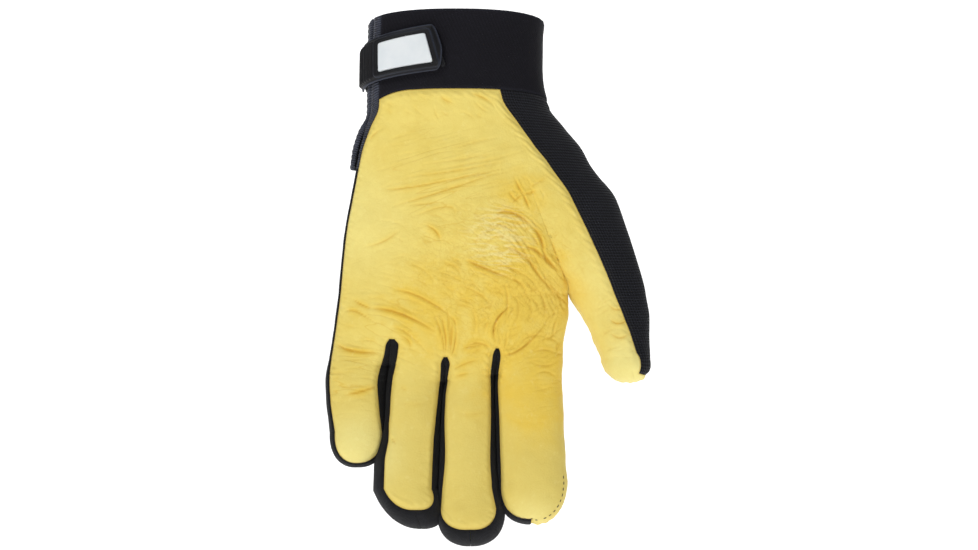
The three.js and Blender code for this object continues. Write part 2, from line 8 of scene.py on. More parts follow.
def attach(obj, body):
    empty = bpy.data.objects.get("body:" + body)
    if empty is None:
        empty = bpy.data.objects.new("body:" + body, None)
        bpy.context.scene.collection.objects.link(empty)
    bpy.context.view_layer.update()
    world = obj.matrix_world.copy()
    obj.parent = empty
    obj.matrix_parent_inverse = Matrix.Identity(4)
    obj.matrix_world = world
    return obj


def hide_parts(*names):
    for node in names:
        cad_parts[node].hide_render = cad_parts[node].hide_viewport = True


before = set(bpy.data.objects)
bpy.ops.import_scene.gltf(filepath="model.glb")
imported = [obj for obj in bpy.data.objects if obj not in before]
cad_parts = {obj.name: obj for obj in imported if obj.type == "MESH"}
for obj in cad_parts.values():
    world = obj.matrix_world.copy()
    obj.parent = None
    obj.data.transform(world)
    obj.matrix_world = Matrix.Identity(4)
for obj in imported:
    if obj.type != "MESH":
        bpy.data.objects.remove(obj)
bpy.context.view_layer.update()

# Sizes in millimetres. SLOT is the gap between two fingers, which press together, and FLARE how far the
# vent's back tape stands off. THUMB_SWING is how far the thumb's root and tip come forward, LIFT how far a
# cloth rises above the seams, and POCKET the left end, right end and height of the plate's pocket.
LENGTH = 241.5
WIDTH = 106
THICK = 36
FINGER_FRONT = 11.5
FINGER_BACK = 10.5
SLOT = -0.25
FLARE = 2.4
THUMB_SWING = (9, 7)
WALL = {"leather": 1.3, "knit": 1.5, "side": 1.1, "cuff": 2.0, "tape": 1.5}
LIFT = {"leather": 0.0, "knit": 0.0, "side": 0.0, "cuff": 0.35, "tape": 0.55}
STRAP = {"tall": 17, "thick": 1.0, "lift": 0.6, "left": -47, "right": 46}
TAB = {"tall": 19.6, "lift": 0.3, "left": -1, "right": 47}
POCKET = (18.2, 42, 12.8)
THREAD_PITCH = 3.2
VIEW = {"across": 14.7, "distance": 760, "height": -115}

# Levels down the glove, as shares of its length.
CUFF_EDGE = 0.008
CUFF_SEAM = 0.152
VENT_END = 0.285
THUMB_START = 0.52
FINGERS_START = 0.687
CURL_START = 0.55
SIDES_START = 0.64
STRAP_LEVEL = 0.098
TIP_SEAM = 0.868

# Shares: how square a section is, how far the fingers curl, gaps of the width that are closed, the taper at
# a slit's top, the dip of the cuff's seam at the outer side and its reach, the width of the vent, and the
# turn that its tapes take apart.
ROUNDNESS = 2.3
CURL = 0.33
NEARLY_SHUT = (0.018, 0.006)
SLIT_TAPER = 0.014
SEAM_DIP = (0.005, 0.07)
VENT_WIDTH = 0.022
TAPES_APART = 0.07

# Fineness of the skin: height of a row, of a fine one and where those lie, then stations over each digit.
ROW = 0.95
FINE_ROW = 0.52
FINE = (0.2, 0.69)
ACROSS = {"little": 26, "ring": 34, "middle": 40, "index": 54, "thumb": 40}
BAND = 6
TIP_ROWS = 16


def columns(names, rows):
    return dict(zip(names.split(), np.array(rows, float).T))


# Lines on the hand: down is a share of the length, the rest are shares of the width and thickness.
HAND = columns("down outer littleRing ringMiddle middleIndex indexThumb thumbSide front back lean", [
    [0.000, -0.378, -0.190, -0.050, 0.070, 0.160, 0.378, 0.70, 0.70, 0.15],
    [0.084, -0.383, -0.195, -0.050, 0.070, 0.155, 0.373, 0.68, 0.66, 0.15],
    [0.166, -0.386, -0.200, -0.050, 0.070, 0.150, 0.399, 0.60, 0.58, 0.15],
    [0.210, -0.406, -0.204, -0.045, 0.090, 0.195, 0.473, 0.57, 0.54, 0.13],
    [0.248, -0.425, -0.211, -0.040, 0.105, 0.238, 0.543, 0.56, 0.51, 0.11],
    [0.282, -0.436, -0.217, -0.037, 0.118, 0.275, 0.590, 0.55, 0.49, 0.09],
    [0.343, -0.462, -0.226, -0.034, 0.138, 0.330, 0.688, 0.54, 0.46, 0.06],
    [0.400, -0.486, -0.239, -0.035, 0.153, 0.382, 0.735, 0.52, 0.44, 0.03],
    [0.457, -0.501, -0.252, -0.039, 0.163, 0.434, 0.773, 0.49, 0.43, 0.01],
    [0.520, -0.514, -0.263, -0.041, 0.169, 0.482, 0.810, 0.45, 0.41, 0.00],
    [0.581, -0.532, -0.271, -0.043, 0.174, 0.475, 0.826, 0.41, 0.38, 0.00],
    [0.632, -0.549, -0.286, -0.046, 0.176, 0.462, 0.826, 0.37, 0.34, 0.00],
    [0.686, -0.569, -0.303, -0.054, 0.162, 0.457, 0.826, 0.34, 0.31, 0.00],
    [0.724, -0.564, -0.307, -0.066, 0.164, 0.451, 0.826, 0.34, 0.31, 0.00],
    [0.762, -0.556, -0.311, -0.069, 0.167, 0.462, 0.826, 0.34, 0.31, 0.00],
])

# Sides of each digit, and how far the leather's edges stand in from them, as shares of the width.
SIDES = {digit: columns("down left right inLeft inRight", rows) for digit, rows in {
    "little": [
        [0.000, -0.378, -0.190, 0.060, 0.030],
        [0.166, -0.386, -0.200, 0.052, 0.030],
        [0.210, -0.406, -0.204, 0.034, 0.030],
        [0.282, -0.436, -0.217, 0.011, 0.030],
        [0.400, -0.486, -0.239, 0.009, 0.026],
        [0.632, -0.549, -0.286, 0.009, 0.022],
        [0.686, -0.569, -0.306, 0.020, 0.035],
        [0.724, -0.564, -0.310, 0.020, 0.026],
        [0.783, -0.547, -0.307, 0.024, 0.011],
    ],
    "ring": [
        [0.000, -0.190, -0.050, 0.030, 0.030],
        [0.282, -0.217, -0.037, 0.030, 0.030],
        [0.632, -0.286, -0.046, 0.034, 0.022],
        [0.686, -0.301, -0.056, 0.026, 0.015],
        [0.762, -0.312, -0.070, 0.022, 0.019],
        [0.800, -0.332, -0.072, 0.041, 0.025],
        [0.838, -0.353, -0.076, 0.048, 0.026],
        [0.890, -0.356, -0.082, 0.048, 0.024],
    ],
    "middle": [
        [0.000, -0.050, 0.070, 0.030, 0.030],
        [0.282, -0.037, 0.118, 0.030, 0.030],
        [0.651, -0.045, 0.165, 0.020, 0.020],
        [0.686, -0.052, 0.159, 0.012, 0.014],
        [0.762, -0.069, 0.164, 0.016, 0.018],
        [0.838, -0.073, 0.169, 0.024, 0.026],
        [0.880, -0.077, 0.178, 0.020, 0.028],
        [0.926, -0.080, 0.206, 0.014, 0.036],
    ],
    "index": [
        [0.000, 0.070, 0.160, 0.020, 0.020],
        [0.166, 0.070, 0.150, 0.020, 0.020],
        [0.282, 0.118, 0.275, 0.030, 0.020],
        [0.632, 0.178, 0.462, 0.013, 0.020],
        [0.686, 0.165, 0.457, 0.013, 0.020],
        [0.762, 0.169, 0.462, 0.015, 0.020],
        [0.838, 0.174, 0.467, 0.015, 0.020],
        [0.874, 0.181, 0.477, 0.010, 0.020],
    ],
    "thumb": [
        [0.000, 0.160, 0.378, 0.020, 0.178],
        [0.152, 0.150, 0.395, 0.016, 0.205],
        [0.166, 0.150, 0.399, 0.020, 0.204],
        [0.210, 0.195, 0.473, 0.030, 0.210],
        [0.248, 0.238, 0.543, 0.030, 0.215],
        [0.282, 0.275, 0.590, 0.030, 0.197],
        [0.343, 0.330, 0.688, 0.030, 0.198],
        [0.400, 0.382, 0.735, 0.030, 0.180],
        [0.457, 0.434, 0.773, 0.030, 0.158],
        [0.520, 0.482, 0.810, 0.030, 0.138],
        [0.562, 0.543, 0.825, 0.024, 0.115],
        [0.590, 0.572, 0.826, 0.020, 0.092],
        [0.619, 0.600, 0.826, 0.018, 0.072],
        [0.642, 0.626, 0.824, 0.016, 0.055],
    ],
}.items()}

# Rounded tips: the tip's level and place across, where the front leather ends, girth, and where the
# leather on the back starts.
TIPS = {
    "little": (0.847, -0.428, 0.842, 0.92, 0.745),
    "ring": (0.959, -0.148, 0.930, 1.00, 0.850),
    "middle": (0.990, 0.060, 0.966, 1.00, 0.885),
    "index": (0.951, 0.318, 0.945, 1.06, 0.830),
    "thumb": (0.686, 0.733, 0.681, 1.04, 0.560),
}

# Where two digits part: the slit's top, the saddle between them, and how far above it they round off.
FORKS = {
    "littleRing": (0.607, 0.657, 0.080),
    "ringMiddle": (0.642, 0.687, 0.080),
    "middleIndex": (0.625, 0.675, 0.080),
    "indexThumb": (0.445, 0.520, 0.220),
}
DIGITS = ["little", "ring", "middle", "index", "thumb"]
FORK_OF = {
    "little": (None, "littleRing"), "ring": ("littleRing", "ringMiddle"),
    "middle": ("ringMiddle", "middleIndex"), "index": ("middleIndex", "indexThumb"),
    "thumb": ("indexThumb", None),
}
CLOTH = {
    "palm_leather": "leather", "back_knit": "knit", "side_gusset_little": "side",
    "fourchette_little_ring": "side", "fourchette_ring_middle": "side", "fourchette_middle_index": "side",
    "fingertip_little": "leather", "fingertip_ring": "leather", "fingertip_middle": "leather",
    "fingertip_index": "leather", "fingertip_thumb": "leather", "cuff_band": "cuff",
    "vent_binding_front": "tape", "vent_binding_back": "tape",
}
NODES = list(CLOTH)

# Creases pressed into the leather: start, middle, end, depth and width in mm, seen from the palm side.
CREASES = np.array([
    (-4.1, -56.9, 5.1, -55.1, 13.3, -52.3, 0.2, 0.5), (-15.2, -63.8, 3.7, -61.5, 19.8, -58.3, 0.22, 0.5),
    (-23, -69.8, -0.9, -67.1, 19.8, -62.9, 0.26, 0.5),
    (-33.1, -74.9, -19.3, -74.4, 19.8, -66.1, 0.34, 0.5),
    (-29, -83.2, -5.5, -76.3, 19.8, -67.5, 0.34, 0.55), (-23, -83.2, -14.7, -82.2, -8.3, -82.2, 0.25, 0.5),
    (-20.2, -88.2, -4.6, -83.6, -0.9, -87.3, 0.3, 0.6),
    (-41.9, -102, -33.1, -99.3, -26.2, -94.2, 0.3, 0.65),
    (-14.7, -91.9, -9.7, -94.7, -7.4, -99.3, 0.4, 0.7), (-39.6, -53.3, -38.2, -50.5, -34, -47.3, 0.25, 0.7),
    (-7.4, -32.1, -5.1, -34.4, -0.9, -36.2, 0.3, 0.7), (6, -31.2, 11.5, -33, 16.6, -35.8, 0.3, 0.7),
    (-12.4, -67.1, 6, -63.8, 23.5, -60.2, 0.2, 0.55), (-7.8, -73, 8.3, -69.4, 25.3, -65.2, 0.2, 0.55),
    (-2.3, -55.6, 10.6, -53.3, 19.8, -51.4, 0.18, 0.55), (18.9, -86.4, 26.7, -86.8, 35, -92.8, 0.6, 0.75),
    (35, -92.8, 38.6, -97.9, 40, -103.9, 0.75, 0.7), (40, -103.9, 42.3, -108.5, 46.9, -113.1, 0.8, 0.72),
    (31.7, -102.5, 37.3, -104.3, 44.2, -111.7, 0.6, 0.7),
    (30.4, -102.9, 37.3, -114.4, 45.5, -123.6, 0.5, 0.7),
    (45.5, -123.6, 48.3, -125.9, 50.6, -128.2, 0.4, 0.7), (13.3, -93.3, 23, -87.8, 31.7, -94.2, 0.26, 0.5),
    (12, -99.3, 20.2, -91.9, 30.4, -99.7, 0.26, 0.5), (11, -104.3, 19.8, -97, 29, -103.9, 0.24, 0.5),
    (15.2, -97.4, 22.5, -92.8, 27.1, -98.3, 0.24, 0.5), (19.8, -91, 27.6, -91, 33.6, -98.3, 0.3, 0.5),
    (22.1, -102, 29, -104.8, 36.3, -112.1, 0.4, 0.65), (4.1, -108, 13.3, -112.1, 25.3, -116.7, 0.5, 0.7),
    (25.3, -116.7, 28.1, -118.1, 30.4, -120.4, 0.45, 0.65),
    (14.3, -109.4, 25.3, -112.1, 36.3, -118.6, 0.3, 0.6), (30.8, -77.6, 29, -74.9, 27.1, -70.7, 0.35, 0.6),
    (30.8, -77.6, 34, -77.2, 37.3, -75.8, 0.35, 0.6), (30.8, -77.6, 32.2, -80.9, 33.6, -84.1, 0.4, 0.6),
    (30.8, -77.6, 28.1, -79.9, 25.3, -82.2, 0.35, 0.6), (32.7, -75.3, 37.3, -72.6, 41.4, -69.8, 0.25, 0.6),
    (24.4, -76.3, 26.2, -79.5, 29.9, -82.2, 0.3, 0.6),
    (-47.8, -125.9, -43.7, -128.7, -38.6, -130.5, 0.45, 0.65),
    (-38.6, -130.5, -26.2, -132.8, -10.1, -140.7, 0.65, 0.75),
    (-51.5, -131.9, -46, -131.9, -37.3, -137, 0.4, 0.6),
    (-28.1, -121.8, -16.1, -125.5, -2.3, -134.2, 0.45, 0.7),
    (-2.3, -134.2, -0.9, -136.1, -0.5, -138.8, 0.35, 0.6),
    (-10.1, -133.3, -6.4, -144.3, -6.4, -150.8, 0.4, 0.6),
    (-7.4, -132.8, -5.1, -143, -5.1, -150.8, 0.4, 0.6),
    (-4.6, -129.2, -3.2, -140.7, -4.1, -151.7, 0.35, 0.55),
    (-1.8, -135.6, -2.3, -145.3, -3.2, -151.7, 0.4, 0.6),
    (0, -138.8, -0.9, -147.6, -2.8, -152.6, 0.35, 0.6),
    (-29.4, -139.3, -23, -141.6, -12.4, -151.7, 0.3, 0.6),
    (-25.8, -142.5, -22.1, -145.3, -21.2, -148.9, 0.35, 0.6),
    (-55.2, -146.6, -48.3, -149.9, -35.9, -150.8, 0.6, 0.75),
    (-52, -153.1, -46.5, -154, -40.9, -153.1, 0.2, 0.6),
    (-51.5, -170.1, -44.2, -168.7, -36.3, -166, 0.5, 0.7),
    (-54.7, -165.5, -52, -166.4, -49.2, -165.5, 0.25, 0.6),
    (-26.2, -166, -24.4, -167.3, -22.1, -168.7, 0.25, 0.6),
    (-30.4, -189.9, -29, -191.3, -27.6, -193.1, 0.3, 0.6),
    (-1.4, -158.6, 4.1, -155.8, 10.6, -154, 0.35, 0.6), (-0.9, -161.8, 2.3, -160.9, 6, -160, 0.3, 0.6),
    (2.8, -148.9, 6.9, -148, 11.5, -147.6, 0.35, 0.6), (17.9, -145.7, 17.9, -137, 25.3, -129.2, 0.5, 0.7),
    (21.2, -151.7, 29.9, -148.9, 40.9, -137.9, 0.5, 0.7),
    (16.1, -148.9, 10.6, -146.6, 5.1, -147.6, 0.4, 0.65),
    (22.1, -119.5, 23.5, -126.9, 22.5, -136.1, 0.3, 0.6),
    (27.1, -125, 28.5, -131.5, 26.2, -138.8, 0.3, 0.6), (31.7, -122.3, 34, -129.6, 32.7, -137, 0.3, 0.6),
    (36.3, -120.4, 40, -126.9, 40.5, -135.1, 0.35, 0.65), (29, -148, 33.6, -143.4, 41.9, -143.4, 0.3, 0.6),
    (6, -129.6, 8.7, -136.1, 7.8, -143.4, 0.25, 0.6), (34.5, -150.8, 40.5, -149.4, 46.9, -151.2, 0.3, 0.6),
    (35, -155.4, 40.9, -156.8, 46.5, -154.9, 0.3, 0.6), (35.9, -160.9, 41.4, -159.5, 46, -161.8, 0.3, 0.6),
    (36.3, -166, 40.9, -167.3, 45.5, -165.5, 0.25, 0.6),
    (38.2, -145.7, 42.8, -144.3, 47.4, -146.6, 0.3, 0.6),
    (41.9, -118.6, 45.5, -122.3, 48.3, -126.9, 0.35, 0.65),
    (69.9, -128.2, 73.6, -131, 78.7, -129.2, 0.35, 0.65),
    (70.4, -135.1, 74.5, -137.4, 79.1, -135.1, 0.4, 0.65),
    (70.8, -141.6, 75, -143.9, 79.6, -142, 0.35, 0.65),
    (-27.1, -172.9, -20.7, -174.7, -13.3, -173.3, 0.2, 0.6),
    (-0.5, -177.5, 6, -179.3, 13.3, -177.5, 0.2, 0.6), (24.4, -181.1, 34.5, -183.4, 45.5, -180.7, 0.2, 0.6),
    (-7.8, -108.5, -0.9, -111.2, 2.3, -115.4, 0.25, 0.6),
    (-21.6, -109.4, -14.7, -113.1, -9.7, -118.6, 0.2, 0.6),
    (2.3, -120, 9.7, -123.2, 15.2, -127.8, 0.3, 0.6),
])

# Places where small wrinkles crowd: left, right, low, high, turn from and to, count, depth and length.
WRINKLED = [
    (11, 21, -99, -86, 0.25, 0.7, 18, 0.18, 1.5), (18, 30, -93, -83, -0.35, 0.15, 16, 0.2, 1.7),
    (27, 38, -106, -90, -1.2, -0.75, 20, 0.25, 1.6), (14, 30, -108, -98, -0.15, 0.3, 16, 0.14, 1.7),
    (24, 40, -84, -70, -1.5, 1.5, 22, 0.15, 0.8),
    (30, 50, -132, -106, -1.3, -0.5, 38, 0.3, 1), (-8, 30, -130, -108, -0.8, 0.2, 44, 0.22, 1),
    (-52, -10, -150, -122, -0.5, 0.0, 30, 0.2, 1), (6, 48, -152, -128, 0.3, 1.4, 44, 0.25, 1),
    (-30, 30, -80, -50, 0.15, 0.33, 40, 0.15, 2.2), (-32, 20, -42, -35, -1.4, -0.3, 12, 0.2, 1),
    (-58, -38, -175, -150, -0.2, 0.2, 20, 0.18, 1.2), (36, 48, -170, -150, -0.2, 0.3, 16, 0.2, 1),
    (66, 82, -150, -124, 0.2, 0.9, 20, 0.2, 1), (-30, 30, -176, -158, -0.3, 0.3, 18, 0.12, 1),
    (-40, 10, -118, -90, -0.4, 0.5, 30, 0.1, 1.4),
]


def smooth(t):
    s = np.clip(t, 0, 1)
    return s * s * (3 - 2 * s)


def mix(a, b, t):
    return a + (b - a) * t


def power(v, e):
    return np.sign(v) * np.abs(v) ** e


def bulge(v):
    return np.maximum(1 - np.minimum(np.abs(v), 1) ** ROUNDNESS, 0) ** (1 / ROUNDNESS)


def cosine(angle):
    return power(np.cos(angle), 2 / ROUNDNESS)


def sine(angle):
    return power(np.sin(angle), 2 / ROUNDNESS)


def angle_of(share):
    return np.arccos(power(np.clip(share, -0.97, 1), ROUNDNESS / 2))


def norm(v):
    return np.linalg.norm(v, axis=-1)


def corner_fall(t, sharpness=2):
    """How far a rounded corner has fallen at a share of its run, from 0 to 1."""
    return 1 - np.sqrt(np.maximum(1 - t ** sharpness, 0))


def read(table, name, down):
    """A column of a table at some levels, smoothly and with no overshoot between its rows."""
    x, y = table["down"], table[name]
    d = np.clip(down, x[0], x[-1])
    k = np.clip(np.searchsorted(x, d, side="right") - 1, 0, len(x) - 2)
    rise = np.diff(y) / np.diff(x)
    a, b = rise[:-1], rise[1:]
    both = np.where(a * b <= 0, 0, 2 * a * b / np.where(a + b == 0, 1, a + b))
    slope = np.concatenate([rise[:1], both, rise[-1:]])
    w = x[k + 1] - x[k]
    t = (d - x[k]) / w
    bend = t * (1 - t) * ((1 - t) * slope[k] - t * slope[k + 1]) * w
    return y[k] + t * t * (3 - 2 * t) * (y[k + 1] - y[k]) + bend


def opening(fork, down):
    _, saddle, reach = FORKS[fork]
    t = np.clip((down - saddle + reach) / reach, 0, 1)
    return 1 - np.sqrt(1 - t * t)


def sides_at(digit, down):
    """Left and right side of a digit. Where two fingers nearly touch, their sides are brought together."""
    ends = []
    for k, fork in enumerate(FORK_OF[digit]):
        own = read(SIDES[digit], ("left", "right")[k], down)
        if fork not in (None, "indexThumb"):
            beside = DIGITS[DIGITS.index(digit) + (1 if k else -1)]
            gap = (read(SIDES[beside], ("right", "left")[k], down) - own) * (1 if k else -1)
            close = np.where(gap > 0, gap * smooth((NEARLY_SHUT[0] - gap) / NEARLY_SHUT[1]), 0)
            own = own + (0.5 if k else -0.5) * close
        if fork is None or fork == "indexThumb":
            column = "outer" if digit == "little" else fork or "thumbSide"
            level = THUMB_START if digit == "thumb" else SIDES_START
            ends.append(WIDTH * np.where(down < level, read(HAND, column, down), own))
        else:
            past = down - FORKS[fork][1]
            shared = WIDTH * mix(read(HAND, fork, down), own, smooth(past / 0.05))
            ends.append(shared + (-0.5 if k else 0.5) * SLOT * smooth(past / 0.03))
    return ends


def bend_at(down):
    return -CURL * LENGTH * np.maximum(down - CURL_START, 0) ** 2


def lean_at(down):
    return read(HAND, "lean", down) + 2 * CURL * np.maximum(down - CURL_START, 0)


def thumb_forward(down, across):
    root, tip = THUMB_SWING
    return -root * smooth((down - 0.2) / 0.32) * across - tip * smooth((down - THUMB_START) / 0.2)


def place(digit, down, share, height, front, tip_down=0.0, flare=0.0):
    """Points of the skin. share runs over a digit from -1 to 1, height over its depth from 0 to 1."""
    _, across_tip, _, girth, _ = TIPS[digit]
    d = np.minimum(down, SIDES[digit]["down"][-1])
    left, right = sides_at(digit, d)
    middle = (left + right) / 2
    x = middle + (right - left) / 2 * share + tip_down * (WIDTH * across_tip - middle)
    drop = 0.0
    if digit == "little":
        drop = SEAM_DIP[0] * (1 - share) ** 2 * smooth(1 - np.abs(down - CUFF_SEAM) / SEAM_DIP[1])
    own = height * girth * np.where(front, FINGER_FRONT, FINGER_BACK)
    half = THICK * np.where(front, read(HAND, "front", d), read(HAND, "back", d))

    def span(a, b):
        return half * bulge((x - (a + b) / 2) / ((b - a) / 2))

    whole = span(WIDTH * read(HAND, "outer", d), WIDTH * read(HAND, "thumbSide", d))
    if digit == "thumb":
        depth = mix(whole, own, opening("indexThumb", d))
    else:
        joined = span(sides_at("little", d)[0], sides_at("index", d)[1])
        depth = mix(whole, joined, opening("indexThumb", d))
        even = smooth((d - 0.58) / 0.11)
        near = [even if fork in (None, "indexThumb") else opening(fork, d) for fork in FORK_OF[digit]]
        edge = np.where(share < 0, near[0], near[1])
        depth = mix(depth, own, mix(edge, even, smooth(1 - np.abs(share))))
    depth = np.where((down < 0.7) & (np.abs(tip_down) < 1e-12), depth, own)
    forward = thumb_forward(down, (share + 1) / 2) if digit == "thumb" else 0.0
    out = np.where(front, -depth, depth)
    lean = lean_at(down)
    flat = 1 / np.hypot(1, lean)
    y = bend_at(down) + forward + out * flat
    z = LENGTH * (CUFF_EDGE - down - drop) - out * lean * flat
    return np.stack(np.broadcast_arrays(x - flare, y, z), -1)


def stations_at(digit, down, front):
    """Stations over one side of a digit: band, face and band. Rows are levels."""
    down = np.asarray(down, float)[:, None]
    left, right = sides_at(digit, down)
    half = (right - left) / 2 / WIDTH
    inset = [read(SIDES[digit], "inLeft", down), read(SIDES[digit], "inRight", down)]
    if not front:
        inset = [np.minimum(v, 0.03) for v in inset]
        if digit == "little":
            inset[0] = np.where(down < VENT_END + 0.01, np.minimum(inset[0], 0.002), inset[0])
    plain = [angle_of(1 - v / half) for v in inset]
    for k, fork in enumerate(FORK_OF[digit]):
        if fork not in (None, "indexThumb"):
            past = np.clip(np.abs(down - FORKS[fork][0]) / SLIT_TAPER, 0, 1)
            inset[k] = inset[k] * (0.04 + 0.96 * np.sqrt(1 - (1 - past) ** 2))
    turn_left, turn_right = (angle_of(1 - v / half) for v in inset)
    stop = flare = 0 * down
    if digit == "little":
        rest = np.sqrt(np.maximum(1 - down / VENT_END, 0))
        vent = angle_of(1 - (VENT_WIDTH * rest + 0.0001) / half)
        stop = np.where(down < VENT_END, vent + (TAPES_APART if front else -TAPES_APART) * rest, 0)
        if not front:
            flare = np.where(down < VENT_END, FLARE * smooth((down - CUFF_SEAM) / 0.1), 0)
    t = np.arange(BAND + 1)[None] / BAND
    first = mix(stop if front else -stop, turn_left, t)
    across = ACROSS[digit]
    u = np.arange(1, across + 1)[None] / across
    middle = mix(plain[0], np.pi - plain[1], u)
    middle = middle + (turn_left - plain[0]) * (1 - u) ** 8 - (turn_right - plain[1]) * u ** 8
    last = mix(np.pi - turn_right, np.pi, t[:, 1:])
    angle = np.concatenate([first, middle, last], 1)
    height = np.abs(sine(angle))
    height[:, -1] = 0
    out = flare * np.concatenate([smooth((1 - t) / 0.5), np.zeros((1, across + BAND))], 1)
    return -cosine(angle), height, (angle < 0) | front, out


def piece_at(digit, zone, front, middle):
    outer = digit == "little" and zone == "left"
    thumb_edge = (digit, zone) in (("index", "right"), ("thumb", "left"))
    if outer and middle < VENT_END:
        return "vent_binding_front" if front else "vent_binding_back"
    if middle < CUFF_SEAM:
        return "cuff_band"
    if outer:
        return "side_gusset_little"
    if digit == "thumb" and zone == "right":
        return "back_knit"
    if thumb_edge:
        return "palm_leather" if front or middle > FORKS["indexThumb"][0] else "back_knit"
    if zone != "face":
        fork = FORK_OF[digit][zone == "right"]
        if middle > FORKS[fork][0]:
            pair = {"littleRing": "little_ring", "ringMiddle": "ring_middle", "middleIndex": "middle_index"}
            return "fourchette_" + pair[fork]
    if front:
        return "palm_leather"
    return "fingertip_" + digit if middle > TIPS[digit][4] else "back_knit"


def stepped(marks):
    """Levels between some marks, about one row apart and closer over the palm, with the marks among them."""
    marks = sorted(set(marks))
    rows = [marks[0]]
    for a, b in zip(marks, marks[1:]):
        fine = FINE[0] < (a + b) / 2 < FINE[1]
        count = max(1, round((b - a) * LENGTH / (FINE_ROW if fine else ROW)))
        rows += [a + (b - a) * k / count for k in range(1, count + 1)]
    return rows


# Levels that a row of the skin has to meet, with more of them just below the slits' tops.
SLITS = [FORKS[fork][0] for fork in ("littleRing", "middleIndex", "ringMiddle")]
BODY_MARKS = [CUFF_EDGE, CUFF_SEAM, VENT_END, THUMB_START, FINGERS_START, FORKS["indexThumb"][0], *SLITS]
BODY_MARKS += [saddle for _, saddle, _ in FORKS.values()]
BODY_MARKS += [notch + step for notch in SLITS for step in (0.0008, 0.0022, 0.0045, 0.0075)]


def start_of(digit):
    """Level from which a digit stands alone."""
    return THUMB_START if digit == "thumb" else FINGERS_START


def rows_of(digit):
    start = start_of(digit)
    marks = [TIPS[digit][4], SIDES[digit]["down"][-1]]
    body = stepped([v for v in BODY_MARKS if v <= start])
    return np.array(body + stepped([start] + [v for v in marks if v > start])[1:])


class Skin:
    """Quads of the whole glove's outer face, with the piece that each belongs to."""

    def __init__(self):
        self.points, self.cloth, self.quads, self.piece, self.coarse = [], [], [], [], []
        self.count = 0

    def add(self, grid, cloth, piece, turned):
        high, wide = grid.shape[:2]
        ids = self.count + np.arange(high * wide).reshape(high, wide)
        quad = np.stack([ids[:-1, :-1], ids[:-1, 1:], ids[1:, 1:], ids[1:, :-1]], -1).reshape(-1, 4)
        self.quads.append(quad[:, ::-1] if turned else quad)
        self.coarse.append(ids[np.arange(high) // 2 * 2][:, np.arange(wide) // 2 * 2].ravel())
        self.piece.append(np.broadcast_to(piece, (high - 1, wide - 1)).ravel())
        self.points.append(grid.reshape(-1, 3))
        self.cloth.append(cloth.reshape(-1, 2))
        self.count += high * wide

    def welded(self):
        points = np.concatenate(self.points)
        key = np.round(points * 200).astype(np.int64)
        _, first, back = np.unique(key, axis=0, return_index=True, return_inverse=True)
        quads = np.concatenate(self.quads)
        back = back.ravel()
        coarse = back[np.concatenate(self.coarse)][first]
        cloth, piece = np.concatenate(self.cloth)[quads], np.concatenate(self.piece)
        return points[first], back[quads], cloth, piece, coarse


def lengths(grid):
    """Running length along the second axis of a grid of points."""
    step = norm(np.diff(grid, axis=1))
    return np.concatenate([np.zeros((len(grid), 1)), np.cumsum(step, 1)], 1)


def build_skin():
    skin = Skin()
    rim_lines, edge_lift = {}, {}
    for front in (True, False):
        carry = None
        for digit in reversed(DIGITS):
            zone_of = ["left"] * BAND + ["face"] * ACROSS[digit] + ["right"] * BAND
            rows = rows_of(digit)
            share, height, side, flare = stations_at(digit, rows, front)
            grid = place(digit, rows[:, None], share, height, side, 0.0, flare)
            run = lengths(grid)
            if digit == "thumb":
                start = run[:, BAND + ACROSS[digit]] if front else -edge_lift["thumb"]
                cloth_x = run - start[:, None] if front else run[:, -1:] - run - start[:, None]
            else:
                more = np.full(max(len(rows) - len(carry), 0), carry[-1])
                joined = np.concatenate([carry, more])[:len(rows)]
                cloth_x = joined[:, None] + ((run - run[:, -1:]) if front else (run[:, -1:] - run))
            if front and digit == "thumb":
                edge_lift["thumb"] = cloth_x[:, -1]
            carry = cloth_x[:, 0][:np.searchsorted(rows, start_of(digit) + 1e-9)]
            cloth = np.stack([cloth_x, np.broadcast_to(LENGTH * rows[:, None], cloth_x.shape)], -1)
            piece = np.array([[NODES.index(piece_at(digit, zone, front, middle)) for zone in zone_of]
                              for middle in (rows[1:] + rows[:-1]) / 2])
            skin.add(grid, cloth, piece, front)
            add_tip(skin, digit, front, rows, cloth_x[-1], rim_lines)
    return skin, rim_lines


